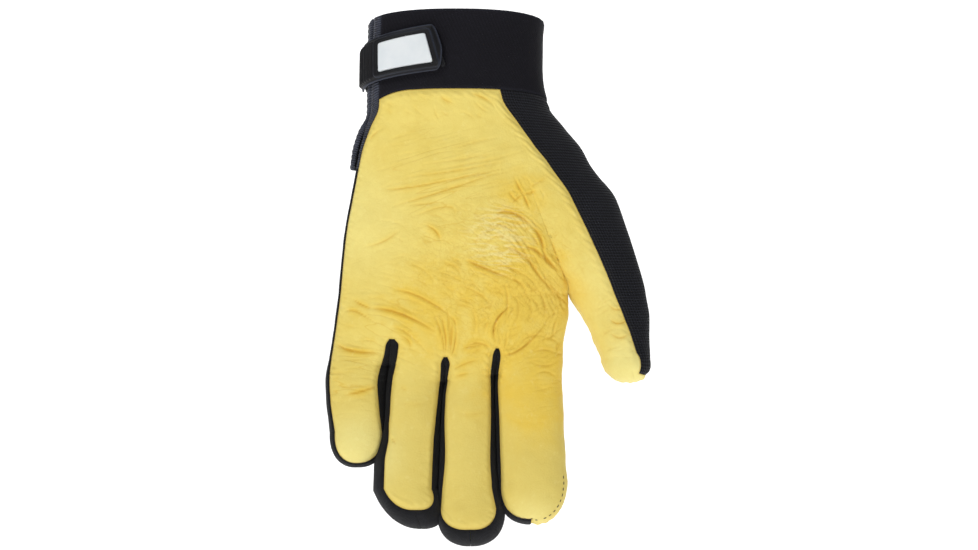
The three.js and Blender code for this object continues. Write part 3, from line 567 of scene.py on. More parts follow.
def add_tip(skin, digit, front, rows, cloth_x, rim_lines):
    """The rounded end: the face's grid is bent onto a half disc, and the band runs round it."""
    start, across = rows[-1], ACROSS[digit]
    tip, _, lid, _, _ = TIPS[digit]

    def at(x, y):
        radius = np.minimum(np.hypot(x, y), 1)
        height = np.where(radius > 0.9999, 0, bulge(radius))
        fuller = radius / np.maximum((np.abs(x) ** 2.4 + np.abs(y) ** 2.4) ** (1 / 2.4), 1e-6)
        return place(digit, mix(start, tip, y * fuller), x * fuller, height, front, y * fuller)

    face = stations_at(digit, [start], front)[0][0, BAND:BAND + across + 1]
    reach = (lid - start) / (tip - start)
    low = reach if front else mix(reach, 1, 0.5)
    edge = np.where(face < 0, -face[0], face[-1])[None]
    v = np.arange(TIP_ROWS + 1)[:, None] / TIP_ROWS
    u = mix(face[None] / edge, 2 * np.arange(across + 1)[None] / across - 1, v)
    disc_x, disc_y = u * np.sqrt(1 - v * v / 2), v * np.sqrt(1 - u * u / 2)
    grid = at(edge * disc_x, low * disc_y)
    cloth = np.stack([grid[..., 0], -grid[..., 2]], -1)
    skin.add(grid, cloth, NODES.index(piece_at(digit, "face", front, 1)), front)
    order = [(r, 0) for r in range(TIP_ROWS + 1)] + [(TIP_ROWS, k) for k in range(1, across + 1)]
    order += [(r, across) for r in range(TIP_ROWS - 1, -1, -1)]
    r, k = np.array(order).T
    rim = np.stack([(edge * disc_x)[r, k], (low * disc_y)[r, k]], -1)
    end = np.stack([disc_x[r, k], disc_y[r, k]], -1)
    end /= norm(end)[:, None]
    size = norm(rim)[:, None]
    t = np.arange(BAND + 1)[None, :, None] / BAND
    way = mix((rim / size)[:, None], end[:, None], t)
    way /= norm(way)[..., None]
    way = way * cosine(mix(angle_of(size)[:, None], 0, t))
    way[:, 0] = rim
    spokes = at(way[..., 0], way[..., 1])
    run = lengths(spokes)
    along = np.concatenate([[0], np.cumsum(norm(np.diff(spokes[:, 0], axis=0)))])
    half = len(order) // 2
    turn = half + (len(order) - half) * 3 // 5 if digit == "thumb" else half
    for zone, part in (("left", slice(0, turn + 1)), ("right", slice(turn, None))):
        if zone == "right":
            v_line = LENGTH * start + along[-1] - along[part]
            x_line = run[part] if front else cloth_x[BAND + across] - run[part]
        else:
            v_line, x_line = LENGTH * start + along[part], cloth_x[0] + run[part]
        cloth = np.stack([x_line, np.broadcast_to(v_line[:, None], x_line.shape)], -1)
        skin.add(spokes[part], cloth, NODES.index(piece_at(digit, zone, front, 1)), not front)
    if front:
        rim_lines[digit] = spokes[:, 0]


skin, rim_lines = build_skin()
points, quads, quad_cloth, quad_piece, coarse = skin.welded()


def normals_of(points, quads):
    a, b, c, d = (points[quads[:, k]] for k in range(4))
    area = np.cross(c - a, d - b)
    normal = np.zeros_like(points)
    for k in range(4):
        np.add.at(normal, quads[:, k], area)
    return normal / np.maximum(norm(normal)[:, None], 1e-12)


def seam_points(quads, piece):
    """Edges where two pieces meet, and open edges."""
    ends = np.sort(np.concatenate([quads[:, [k, (k + 1) % 4]] for k in range(4)]), axis=1)
    owner = np.tile(piece, 4)
    whole = ends[:, 0] != ends[:, 1]
    ends, owner = ends[whole], owner[whole]
    pairs, back, uses = np.unique(ends, axis=0, return_inverse=True, return_counts=True)
    back = back.ravel()
    low, high = np.full(len(pairs), 99), np.full(len(pairs), -1)
    np.minimum.at(low, back, owner)
    np.maximum.at(high, back, owner)
    return pairs[low != high], pairs[uses == 1]


seams, borders = seam_points(quads, quad_piece)


def away_from(points, some):
    """Distance of every point from the nearest of some points."""
    tree = KDTree(len(some))
    for k, p in enumerate(some):
        tree.insert(p, k)
    tree.balance()
    return np.array([tree.find(p)[2] for p in points])


def relaxed(points, share, rounds):
    """Points eased towards the middle of their neighbours, each by its share."""
    some = quads[share[quads].max(1) > 0]
    a, b = some.ravel(), np.roll(some, -1, axis=1).ravel()
    count = np.bincount(np.concatenate([a, b]), minlength=len(points))[:, None]
    points = points.copy()
    for _ in range(rounds):
        total = np.zeros_like(points)
        np.add.at(total, a, points[b])
        np.add.at(total, b, points[a])
        points += 0.5 * share[:, None] * (total / np.maximum(count, 1) - points)
    return points


def waves(points, size, count, seed, stretch):
    """Smooth seeded ripples of about one size, between about -1 and 1."""
    rng = np.random.default_rng(seed)
    total = np.zeros(len(points))
    for _ in range(count):
        way = rng.normal(size=3)
        way *= 2 * np.pi / size * rng.uniform(0.7, 1.35) / norm(way)
        total += np.sin((points / np.array(stretch)) @ way + rng.uniform(0, 2 * np.pi))
    return total / np.sqrt(count)


# Ripples of the filled cloth: size, count, seed, stretch, and their height on each kind of cloth, in mm.
RIPPLES = [
    (26, 24, 1, (1, 1, 1), {"leather": 0.34, "knit": 0.28, "cuff": 0.18}),
    (9, 30, 2, (1, 1, 1), {"leather": 0.1, "knit": 0.06, "side": 0.05}),
    (4.2, 30, 3, (1.8, 1, 0.9), {"leather": 0.05}),
]
LOOKS = ["leather", "knit", "side", "cuff", "tape"]
look_of = np.array([LOOKS.index(CLOTH[n]) for n in NODES])


def shares(kind):
    """How much of each corner's faces belong to one look."""
    total, part = np.zeros(len(points)), np.zeros(len(points))
    hit = (look_of[quad_piece] == LOOKS.index(kind)).astype(float)
    for k in range(4):
        np.add.at(total, quads[:, k], 1)
        np.add.at(part, quads[:, k], hit)
    return part / np.maximum(total, 1)


def line_off(flat, p0, p1, p2):
    """Distance of points in the palm's plane from a bent line, and how far along it they lie."""
    t = np.linspace(0, 1, 9)[:, None]
    line = (1 - t) ** 2 * p0 + 2 * t * (1 - t) * (2 * p1 - (p0 + p2) / 2) + t * t * p2
    best, along = np.full(len(flat), 1e9), np.zeros(len(flat))
    for k in range(8):
        a, b = line[k], line[k + 1]
        s = np.clip((flat - a) @ (b - a) / max((b - a) @ (b - a), 1e-9), 0, 1)
        off = norm(flat - a - s[:, None] * (b - a))
        better = off < best
        best[better], along[better] = off[better], (k + s[better]) / 8
    return best, along


# A crease: its depth and width over those in the lists, its raised shoulders, the reach of the painted
# golden shade beside it, the depth that gets the full painted shade, and how far from its line anything is
# changed, in mm.
DEEPER, NARROWER = 1.15, 0.8
SHOULDER_HEIGHT, SHOULDER_OFF = 0.45, 2.3
HALO, FULL_TONE, CREASE_REACH = 2.6, 0.6, 6


def hump(off, reach):
    return np.exp(-(off / reach) ** 2)


def press_creases(points, normal, leather):
    """Depth of the creases at every corner, and how much painted shade it gets in one or beside one."""
    nearer = VIEW["distance"] / (VIEW["distance"] + points[:, 1])
    eye = (0, VIEW["height"])
    flat = (points[:, [0, 2]] - eye) * nearer[:, None] + eye
    facing = smooth((-normal[:, 1] - 0.05) / 0.3) * leather
    rng = np.random.default_rng(11)
    rows = [(*c[:6], DEEPER * c[6], c[7]) for c in CREASES]
    for x0, x1, z0, z1, turn0, turn1, count, deep, long in WRINKLED:
        for _ in range(count):
            x, z = rng.uniform(x0, x1), rng.uniform(z0, z1)
            turn, size = rng.uniform(turn0, turn1), rng.uniform(1.6, 4.5) * long
            dx, dz = size * np.cos(turn), size * np.sin(turn)
            bend = rng.uniform(-0.9, 0.9, 2)
            rows.append((x - dx, z - dz, x + bend[0], z + bend[1], x + dx, z + dz, deep, 0.52))
    depth, tone, crease_halo_shade = np.zeros((3, len(points)))
    pick = np.nonzero(facing > 0)[0]
    for *line, deep, wide in rows:
        line = np.reshape(line, (3, 2))
        low, high = line.min(0) - CREASE_REACH, line.max(0) + CREASE_REACH
        here = pick[np.all((flat[pick] > low) & (flat[pick] < high), axis=1)]
        if not len(here):
            continue
        off, along = line_off(flat[here], *line)
        wide *= NARROWER
        fade = np.sin(np.pi * np.clip(along, 0.04, 0.96)) ** 0.5 * facing[here]
        furrow, shoulder = hump(off, wide), hump(off - SHOULDER_OFF * wide, wide)
        depth[here] += deep * fade * (SHOULDER_HEIGHT * shoulder - furrow)
        strength = fade * min(deep / FULL_TONE, 1)
        # Painted shade in the crease, and painted golden shade beside it.
        tone[here] = np.maximum(tone[here], strength * furrow)
        crease_halo_shade[here] = np.maximum(crease_halo_shade[here], strength * hump(off, HALO))
    return depth, tone, crease_halo_shade


normal = normals_of(points, quads)
kinds = {kind: shares(kind) for kind in LOOKS}
seam_off = away_from(points, points[np.unique(seams)])
border_off = away_from(points, points[np.unique(borders)])
depth, tone, crease_halo_shade = press_creases(points, normal, kinds["leather"])
edge_off = np.minimum(seam_off, border_off)
ripple = sum(waves(points, size, count, seed, stretch) * sum(kinds[kind] * high for kind, high in on.items())
             for size, count, seed, stretch, on in RIPPLES)
uneven = waves(points, 15, 12, 4, (1, 1, 1))
pucker = np.sin(2 * np.pi * (points[:, 2] + 0.7 * points[:, 0] + uneven) / THREAD_PITCH)
sewn = hump(seam_off, 1.5)
beside = hump(seam_off - 2.6, 1.5)
valley = (0.75 * kinds["leather"] + 0.5 * kinds["knit"] + 0.2 * kinds["cuff"]) * sewn
valley -= 0.12 * kinds["side"]
puff = beside * (0.28 + 0.2 * pucker) * (kinds["leather"] + 0.6 * kinds["knit"])
calm = smooth(edge_off / 3)
knit_end = rim_lines["thumb"][len(rim_lines["thumb"]) * 4 // 5]
ease = 1 - 0.9 * hump(norm(points - knit_end), 3.5)
points = points + normal * (depth + ripple * calm + ease * (puff - valley) - 0.15 * kinds["cuff"])[:, None]

points = relaxed(points, smooth((9 - norm(points - knit_end)) / 4), 12)
for digit in ("little", "ring", "middle"):
    top = [FORKS[FORK_OF[digit][1]][0]]
    share, height, _, _ = stations_at(digit, top, True)
    slit_top = place(digit, top[0], share[0, -BAND - 1], height[0, -BAND - 1], True)
    points = relaxed(points, smooth((4 - norm(points - slit_top)) / 2), 6)
normal = normals_of(points, quads)


def in_scene(name, data):
    made = bpy.data.objects.new(name, data)
    bpy.context.scene.collection.objects.link(made)
    return made


def smooth_object(name, mesh):
    mesh.polygons.foreach_set("use_smooth", np.ones(len(mesh.polygons), bool))
    return in_scene(name, mesh)


def mesh_object(name, verts, faces, material, cloth, **marks):
    """A piece as a plain mesh, with its cloth's own measure as UV and some marks at its corners."""
    mesh = bpy.data.meshes.new(name)
    mesh.from_pydata((np.asarray(verts) * 0.001).tolist(), [], faces)
    corner = np.zeros(len(mesh.loops), np.int32)
    mesh.loops.foreach_get("vertex_index", corner)
    layer = mesh.uv_layers.new(name="cloth")
    layer.data.foreach_set("uv", (cloth[corner] * 0.001).astype(np.float32).ravel())
    for mark, values in marks.items():
        mesh.attributes.new(mark, "FLOAT", "POINT").data.foreach_set("value", values.astype(np.float32))
    mesh.materials.append(material)
    mesh.validate()
    return smooth_object(name, mesh)


def settle(piece, finish, *nodes):
    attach(piece, "root")
    if nodes:
        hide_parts(*nodes)
    return piece


def rgb(red, green, blue):
    """A screen colour from 0 to 255, as light."""
    c = np.array([red, green, blue]) / 255
    light = np.where(c <= 0.04045, c / 12.92, ((c + 0.055) / 1.055) ** 2.4)
    return (*[float(v) for v in light], 1.0)


class Num:
    """A shader value that sums and products work on."""

    def __init__(self, paint, socket):
        self.paint, self.socket = paint, socket

    def _math(self, operation, first, second):
        return self.paint.node("ShaderNodeMath", {"operation": operation}, {0: first, 1: second})

    def __add__(self, other):
        return self._math("ADD", self, other)

    def __radd__(self, other):
        return self._math("ADD", other, self)

    def __sub__(self, other):
        return self._math("SUBTRACT", self, other)

    def __rsub__(self, other):
        return self._math("SUBTRACT", other, self)

    def __mul__(self, other):
        return self._math("MULTIPLY", self, other)

    def __rmul__(self, other):
        return self._math("MULTIPLY", other, self)


class Paint:
    """One finish: a material whose nodes are added as it is written. Sizes and places are in metres."""

    def __init__(self, name, specular, sheen=0.0, sheen_roughness=0.5):
        self.material = bpy.data.materials.new(name)
        self.material.use_nodes = True
        self.tree = self.material.node_tree
        self.shader = self.tree.nodes["Principled BSDF"]
        self.own("Specular IOR Level", specular)
        self.own("Sheen Weight", sheen)
        self.own("Sheen Roughness", sheen_roughness)
        self.where = self.node("ShaderNodeTexCoord", {}, {}, "Object")

    def own(self, socket, value):
        self.shader.inputs[socket].default_value = value

    def node(self, kind, settings, values, out=0):
        made = self.tree.nodes.new(kind)
        for key, value in settings.items():
            setattr(made, key, value)
        for key, value in values.items():
            if isinstance(value, Num):
                self.tree.links.new(value.socket, made.inputs[key])
            else:
                made.inputs[key].default_value = value
        return Num(self, made.outputs[out])

    def feed(self, socket, value):
        self.tree.links.new(value.socket, self.shader.inputs[socket])

    def finish(self, base, roughness, height, distance, strength):
        """The finished material, with its colour, its roughness and a fine relief."""
        self.feed("Base Color", base)
        self.feed("Roughness", roughness)
        values = {"Height": height, "Distance": distance, "Strength": strength}
        self.feed("Normal", self.node("ShaderNodeBump", {}, values))
        return self.material

    def noise(self, scale, detail, roughness=0.5, where=None):
        values = {"Vector": where or self.where, "Scale": scale, "Detail": detail, "Roughness": roughness}
        return self.node("ShaderNodeTexNoise", {}, values)

    def cells(self, scale):
        return self.node("ShaderNodeTexVoronoi", {"feature": "F1"}, {"Vector": self.where, "Scale": scale})

    def mark(self, name):
        return self.node("ShaderNodeAttribute", {"attribute_name": name}, {}, "Fac")

    def height(self):
        return self.node("ShaderNodeSeparateXYZ", {}, {0: self.where}, 2)

    def weave(self):
        """The cloth's own measure across and along."""
        cloth = self.node("ShaderNodeUVMap", {"uv_map": "cloth"}, {})
        return [self.node("ShaderNodeSeparateXYZ", {}, {0: cloth}, k) for k in (0, 1)]

    def ribs(self, value, pitch):
        return self.node("ShaderNodeMath", {"operation": "SINE"}, {0: value * (2 * np.pi / pitch)})

    def from_middle(self, value):
        return self.node("ShaderNodeMath", {"operation": "ABSOLUTE"}, {0: value - 0.5})

    def ramp(self, value, low, high):
        """From 0 to 1 as a value goes from low to high, smoothly."""
        span = {"Value": value, "From Min": low, "From Max": high}
        return self.node("ShaderNodeMapRange", {"interpolation_type": "SMOOTHSTEP"}, span)

    def blend(self, share, first, second):
        return self.node("ShaderNodeMix", {"data_type": "RGBA"}, {0: share, 6: first, 7: second}, 2)

    def near_edge(self, reach):
        """From 1 at a piece's edge to 0 further in."""
        return 1 - self.ramp(self.mark("edge"), 0.0, reach)

    def near(self, point, radius):
        """From 1 at a point to 0 at a radius round it."""
        values = {0: self.where, 1: point}
        far = self.node("ShaderNodeVectorMath", {"operation": "DISTANCE"}, values, "Value")
        return 1 - self.ramp(far, 0.2 * radius, radius)

    def spots(self, places):
        return sum(strength * self.near(point, radius) for strength, point, radius in places)

    def fine_lines(self, centre, radius, turn, size, stretch):
        """Thin broken lines and wider dips, stretched along one way, round one place on the palm."""
        dot = {"operation": "DOT_PRODUCT"}
        c, s = np.cos(turn), np.sin(turn)
        along = self.node("ShaderNodeVectorMath", dot, {0: self.where, 1: (c, 0, s)}, "Value")
        across = self.node("ShaderNodeVectorMath", dot, {0: self.where, 1: (-s, 0, c)}, "Value")
        laid = {0: along * (1 / (size * stretch)), 1: across * (1 / size)}
        laid = self.node("ShaderNodeCombineXYZ", {}, laid)
        off = self.from_middle(self.noise(1.0, 1, 0.4, laid))
        around = self.near(centre, radius)
        broken = self.ramp(self.noise(0.6, 1, where=laid), 0.44, 0.62)
        line = (1 - self.ramp(off, 0.0, 0.035)) * broken * around
        return line, (1 - self.ramp(off, 0.0, 0.15)) * around


# Flowing lines in the leather, darkened with painted shade: place, reach, turn, size and stretch. The pale
# streaks of painted highlight are written alike.
FLOW = [
    ((-0.008, -0.02, -0.072), 0.042, 0.27, 0.004, 7), ((0.024, -0.02, -0.1), 0.036, -0.6, 0.003, 2.4),
    ((0, -0.02, -0.112), 0.045, -0.25, 0.004, 3), ((-0.02, -0.018, -0.137), 0.046, -0.36, 0.0044, 4.5),
    ((0.028, -0.018, -0.137), 0.036, 0.75, 0.0038, 3.5), ((0.042, -0.02, -0.112), 0.03, -0.95, 0.0032, 3.5),
    ((0.04, -0.018, -0.162), 0.026, 0.05, 0.004, 4), ((-0.048, -0.012, -0.162), 0.028, -0.05, 0.0044, 4),
    ((0.074, -0.026, -0.138), 0.024, 0.1, 0.0042, 4),
]
PALE_HIGHLIGHT_STREAKS = ((0.02, -0.022, -0.099), 0.027, -0.12, 0.0026, 4.5)

# Places where the leather is painted golden as shade, or paler as painted highlight: strength, place and
# reach.
GOLDEN_SHADE = [
    (0.9, (0.04, -0.018, -0.118), 0.03), (0.6, (0.03, -0.02, -0.08), 0.02), (0.6, (0, -0.02, -0.13), 0.05),
    (0.9, (0.038, -0.02, -0.165), 0.045), (0.8, (0.05, -0.016, -0.128), 0.018),
]
PALE_HIGHLIGHTS = [
    (1, (0.078, -0.03, -0.166), 0.034), (0.6, (0.034, -0.03, -0.228), 0.025),
    (0.6, (-0.044, -0.02, -0.195), 0.03), (0.4, (0.062, -0.03, -0.125), 0.045),
    (0.4, (-0.05, -0.02, -0.09), 0.05),
]


def yellow_leather():
    p = Paint("yellow_leather", 0.3, 0.1, 0.4)
    cloud, patch = p.noise(24, 3), p.noise(120, 4, 0.6)
    fine, grain = p.noise(420, 3, 0.6), p.cells(1300)
    crinkle = 1 - p.ramp(p.from_middle(p.noise(330, 2)), 0.0, 0.09)
    crinkle = crinkle * (0.25 + 0.9 * p.near((0.018, -0.02, -0.118), 0.055))
    lines, dips = (sum(parts) for parts in zip(*(p.fine_lines(*row) for row in FLOW)))
    # Painted shade: the leather is painted more golden at some places and beside the creases.
    golden_shade = p.spots(GOLDEN_SHADE) + 0.9 * p.mark("crease_halo_shade")
    # Painted highlight: pale glossy streaks on the palm.
    _, pale = p.fine_lines(*PALE_HIGHLIGHT_STREAKS)
    # Painted shade: the leather is darker down the fingers, where less light falls.
    fingers = 1 - p.ramp(p.height(), -0.172, -0.138)
    base = p.blend(p.ramp(0.65 * cloud + 0.35 * patch, 0.34, 0.68), rgb(235, 214, 116), rgb(226, 201, 99))
    for share, colour in [
        (fingers * 0.6, rgb(222, 200, 106)),
        (p.ramp(golden_shade * (0.35 + 1.3 * patch), 0.05, 1.2) * 0.8, rgb(232, 196, 70)),
        # Painted highlights: pale streaks and pale places on the leather.
        (p.ramp(pale * (patch + 0.25), 0.15, 0.75) * 0.5, rgb(243, 231, 164)),
        (p.ramp(p.spots(PALE_HIGHLIGHTS), 0.0, 0.8) * 0.7, rgb(240, 230, 150)),
        # Painted shade: the flowing lines and small wrinkles are darkened to dark gold, besides their sunk
        # relief.
        (p.ramp(lines * (0.3 + patch), 0.1, 0.9) * 0.4, rgb(214, 172, 56)),
        (crinkle * 0.2, rgb(214, 172, 56)),
        # Painted shade: the leather is darkened to deep ochre in the creases.
        (p.ramp(p.mark("crease_shade"), 0.1, 0.9) * 0.75, rgb(204, 154, 40)),
        # Painted shade: the leather is darkened along its seams and edges.
        (p.near_edge(0.14) * 0.45, rgb(196, 158, 62)),
        (p.ramp(fine, 0.55, 0.8) * 0.16, rgb(252, 240, 170)),
    ]:
        base = p.blend(share, base, colour)
    relief = 0.3 * fine + 0.1 * patch + 0.15 * grain - 0.2 * lines - 0.3 * dips - 0.2 * crinkle
    return p.finish(base, 0.5 + 0.25 * patch + 0.1 * fine - 0.12 * pale, relief, 0.0005, 0.6)


def rib_knit():
    p = Paint("rib_knit", 0.25, 0.06)
    across, along = p.weave()
    rows = p.ribs(along, 0.00125)
    wales = p.ribs(across, 0.00125) * (1 - 0.75 * p.ramp(across, 0.004, 0.02))
    loose = p.noise(160, 3)
    height = 0.5 + 0.28 * rows + 0.22 * wales
    tone = p.ramp(height + 0.25 * (loose - 0.5), 0.1, 1.0)
    base = p.blend(tone, rgb(3, 3, 6), rgb(27, 29, 37))
    return p.finish(base, 0.95 - 0.2 * tone, height + 0.3 * loose, 0.0006, 0.9)


def side_jersey():
    p = Paint("side_jersey", 0.3, 0.05, 0.4)
    across, along = p.weave()
    mesh = p.ribs(along, 0.0009) * p.ribs(across, 0.0009)
    loose = p.noise(220, 3)
    tone = p.ramp(0.5 + 0.3 * mesh + 0.6 * (loose - 0.5), 0.0, 1.0)
    base = p.blend(tone, rgb(6, 6, 8), rgb(23, 24, 30))
    # Painted shade: the side cloth is darkened above the fingertips, deep in the slits between the fingers.
    base = p.blend(p.ramp(p.height(), -0.212, -0.185) * 0.75, base, rgb(2, 2, 3))
    return p.finish(base, 0.9 - 0.2 * tone, 0.4 * mesh + 0.5 * loose, 0.0004, 0.8)


def cuff_cloth():
    p = Paint("cuff_cloth", 0.2, 0.06, 0.35)
    across, along = p.weave()
    twill, cross = p.ribs(across + along, 0.0011), p.ribs(across - 0.6 * along, 0.0016)
    cloud, loose = p.noise(30, 2), p.noise(420, 3)
    tone = p.ramp(0.16 * twill + 0.12 * cross + 0.5 * loose + 0.5 * cloud, 0.0, 1.0)
    base = p.blend(tone, rgb(12, 11, 16), rgb(24, 23, 30))
    base = p.blend(p.near_edge(0.2) * 0.3, base, rgb(42, 44, 54))
    return p.finish(base, 0.85 + 0.1 * loose, 0.4 * twill + 0.3 * cross + 0.3 * loose, 0.0002, 0.5)


def ribbed_tape():
    p = Paint("ribbed_tape", 0.3, 0.1, 0.4)
    ribs, loose = p.ribs(p.weave()[1], 0.0010), p.noise(260, 3)
    tone = p.ramp(0.5 + 0.3 * ribs + 0.7 * (loose - 0.5), 0.0, 1.0)
    base = p.blend(tone, rgb(30, 32, 40), rgb(76, 80, 94))
    return p.finish(base, 0.8 - 0.15 * tone, 0.5 * ribs + 0.4 * loose, 0.0005, 0.8)


def strap_cloth():
    p = Paint("strap_cloth", 0.2, 0.1)
    loops, loose = p.cells(1500), p.noise(500, 3)
    base = p.blend(p.ramp(loops + 0.5 * (loose - 0.5), 0.1, 0.9), rgb(8, 8, 10), rgb(28, 29, 34))
    return p.finish(base, 0.95 - 0.1 * loose, loops + 0.5 * loose, 0.0005, 0.9)


def tab_rubber():
    p = Paint("tab_rubber", 0.25)
    cloud, dust = p.noise(90, 3), p.noise(900, 2)
    base = p.blend(p.ramp(cloud, 0.3, 0.7), rgb(5, 5, 9), rgb(10, 11, 16))
    # Painted highlight: pale bluish lines along the tab's outer rim and the frame's rims.
    base = p.blend(p.near_edge(0.12) * 0.8, base, rgb(58, 63, 78))
    return p.finish(base, 0.38 + 0.2 * cloud + 0.1 * dust, dust + 0.4 * cloud, 0.00012, 0.5)


def plate_gloss():
    p = Paint("plate_gloss", 0.5)
    p.own("Coat Weight", 0.15)
    cloud, dust = p.noise(120, 3), p.noise(1500, 2)
    base = p.blend(p.ramp(cloud, 0.3, 0.75), rgb(226, 230, 232), rgb(217, 223, 226))
    base = p.blend(p.near_edge(0.1) * 0.3, base, rgb(196, 202, 206))
    return p.finish(base, 0.3 + 0.15 * cloud, dust, 0.00005, 0.4)


def black_thread():
    p = Paint("black_thread", 0.4, 0.3)
    twist, loose = p.noise(2600, 2), p.noise(200, 2)
    base = p.blend(p.ramp(0.6 * twist + 0.4 * loose, 0.3, 0.7), rgb(20, 18, 18), rgb(52, 46, 42))
    return p.finish(base, 0.6 + 0.3 * twist, twist, 0.0002, 0.8)


def studio_white():
    p = Paint("studio_white", 0.1)
    p.own("Emission Strength", 0.6)
    p.own("Emission Color", (1, 1, 1, 1))
    cloud = p.noise(3, 2)
    p.feed("Base Color", p.blend(cloud, rgb(247, 247, 247), rgb(252, 252, 252)))
    p.feed("Roughness", 0.8 + 0.1 * cloud)
    return p.material


FINISH = {
    "leather": yellow_leather(), "knit": rib_knit(), "side": side_jersey(), "cuff": cuff_cloth(),
    "tape": ribbed_tape(), "strap": strap_cloth(), "rubber": tab_rubber(), "plate": plate_gloss(),
}
THREAD = black_thread()


def unit(v):
    return v / np.maximum(norm(v)[:, None], 1e-9)


def wall(node):
    """A piece of the skin as a closed wall, its edges turned in, as thick as its cloth."""
    look = CLOTH[node]
    mine = quad_piece == NODES.index(node)
    used, local = np.unique(quads[mine], return_inverse=True)
    local = local.reshape(-1, 4)
    outer, out = points[used].copy(), normal[used]
    cloth = np.zeros((len(used), 2))
    cloth[local] = quad_cloth[mine]
    a, b = local.ravel(), np.roll(local, -1, axis=1).ravel()
    whole = a != b
    a, b = a[whole], b[whole]
    code, reverse = a * len(used) + b, b * len(used) + a
    rim = ~np.isin(code, reverse)
    a, b = a[rim], b[rim]
    border = np.unique(np.concatenate([a, b]))
    centre, pull = outer[local].mean(1), np.zeros_like(outer)
    for k in range(4):
        np.add.at(pull, local[:, k], centre - outer[local[:, k]])
    off = away_from(outer, outer[border])
    rise = hump(off, 3.5) if look == "cuff" else 1 - hump(off, 0.8)
    outer += out * (LIFT[look] * rise)[:, None]
    outer[border] += 0.06 * unit(pull[border])
    inner = outer - out * WALL[look]
    shift = len(used)
    plain, own = np.arange(shift), np.isin(coarse[used], used)
    plain[own] = np.searchsorted(used, coarse[used][own])
    plain[border] = border
    rings = [list(dict.fromkeys(quad)) for quad in local.tolist()]
    inside = [list(dict.fromkeys(quad)) for quad in (plain[local[:, ::-1]] + shift).tolist()]
    faces = [ring for ring in rings + inside if len(ring) > 2]
    faces += [[q, p, p + shift, q + shift] for p, q in zip(a.tolist(), b.tolist())]
    # Marks: painted shade in the creases, painted golden shade beside them, and distance from the piece's
    # edge.
    marks = {"crease_shade": tone[used], "crease_halo_shade": crease_halo_shade[used], "edge": np.clip(off / 8, 0, 1)}
    marks = {name: np.tile(values, 2) for name, values in marks.items()}
    verts = np.concatenate([outer, inner])
    piece = mesh_object(node + "_sewn", verts, faces, FINISH[look], np.tile(cloth, (2, 1)), **marks)
    settle(piece, look, node)
    p, q, r, s = (outer[local[:, k]] for k in range(4))
    area = norm(np.cross(r - p, s - q)).sum() / 2
    around = norm(outer[a] - outer[b]).sum() / 2
    if node in ("palm_leather", "back_knit"):
        wide, deep, long = np.ptp(outer, axis=0)
        cut = (wide + deep, long)
    else:
        rest = np.sqrt(max(around ** 2 / 4 - area, 0))
        long = around / 2 + rest if rest else np.sqrt(area)
        cut = (max(area / long, 10), long)
    cut[0] / 1000
    cut[1] / 1000
    return piece


cloth_pieces = {node: wall(node) for node in NODES}


def on_cuff(angle, down, lift):
    """A point lifted off the cuff, by its angle from the little finger's side line, front positive."""
    def point(a, d):
        outer, side = WIDTH * read(HAND, "outer", d), WIDTH * read(HAND, "thumbSide", d)
        half = THICK * np.where(a >= 0, read(HAND, "front", d), read(HAND, "back", d))
        out = -half * sine(a)
        lean = lean_at(d)
        flat = 1 / np.hypot(1, lean)
        x = (outer + side) / 2 - (side - outer) / 2 * cosine(a)
        return np.stack([x, out * flat, LENGTH * (CUFF_EDGE - d) - out * lean * flat], -1)

    step = np.where(angle >= 0, 0.02, 0.0)
    along = point(angle + step, down) - point(angle + step - 0.02, down)
    fall = point(angle, down + 0.002) - point(angle, down - 0.002)
    out = np.cross(along, fall)
    return point(angle, down) - out * (lift / norm(out))[..., None]


turns = np.linspace(-np.pi / 2, np.pi / 2, 401)
girth = on_cuff(turns, 0.08 + 0 * turns, 0.0)
girth = np.concatenate([[0], np.cumsum(norm(np.diff(girth, axis=0)))])
girth -= girth[len(turns) // 2]
STRAP_TOP = STRAP["lift"] + STRAP["thick"]


def on_strap(along, across, lift):
    """A point over the strap: length from the side line, height off its middle line, lift off the cuff."""
    down = STRAP_LEVEL - 0.00045 * np.maximum(along, 0) + across / LENGTH
    slant = 0.3 * across * smooth((along - 15) / 32)
    return on_cuff(np.interp(along + slant, girth, turns), down, lift)


def slab(name, along, across, bottom, top, finish, edge):
    """A closed slab over the strap from grids of length, height and lift."""
    high, wide = along.shape
    upper, lower = on_strap(along, across, top), on_strap(along, across, bottom)
    ids = np.arange(high * wide).reshape(high, wide)
    faces = np.stack([ids[:-1, :-1], ids[1:, :-1], ids[1:, 1:], ids[:-1, 1:]], -1).reshape(-1, 4)
    ring = np.concatenate([ids[0, :-1], ids[:-1, -1], ids[-1, :0:-1], ids[:0:-1, 0]])
    turned = np.roll(ring, -1)
    shift = high * wide
    walls = np.stack([ring, turned, turned + shift, ring + shift], -1)
    faces = faces.tolist() + (faces[:, ::-1] + shift).tolist() + walls.tolist()
    verts = np.concatenate([upper.reshape(-1, 3), lower.reshape(-1, 3)])
    cloth = np.tile(np.stack([along.ravel(), across.ravel()], -1), (2, 1))
    return mesh_object(name, verts, faces, finish, cloth, edge=np.tile(np.clip(edge.ravel() / 8, 0, 1), 2))


def box_edge(along, across, left, right, half, corner):
    """Distance inside a rounded box, negative outside it."""
    x = np.abs(along - (left + right) / 2) - (right - left) / 2 + corner
    y = np.abs(across) - half + corner
    return corner - np.hypot(np.maximum(x, 0), np.maximum(y, 0)) - np.minimum(np.maximum(x, y), 0)


def tab_edges(across):
    """Left and right end of the tab at a height: rounded on the left, a blunt point on the right."""
    half = TAB["tall"] / 2
    share = np.abs(across) / half
    left = TAB["left"] + 3.2 * corner_fall(share, 5)
    point = np.where(across > 0, 3.9, 0.5) * share ** 1.4
    return left, TAB["right"] - point - 2.0 * corner_fall(share, 7)


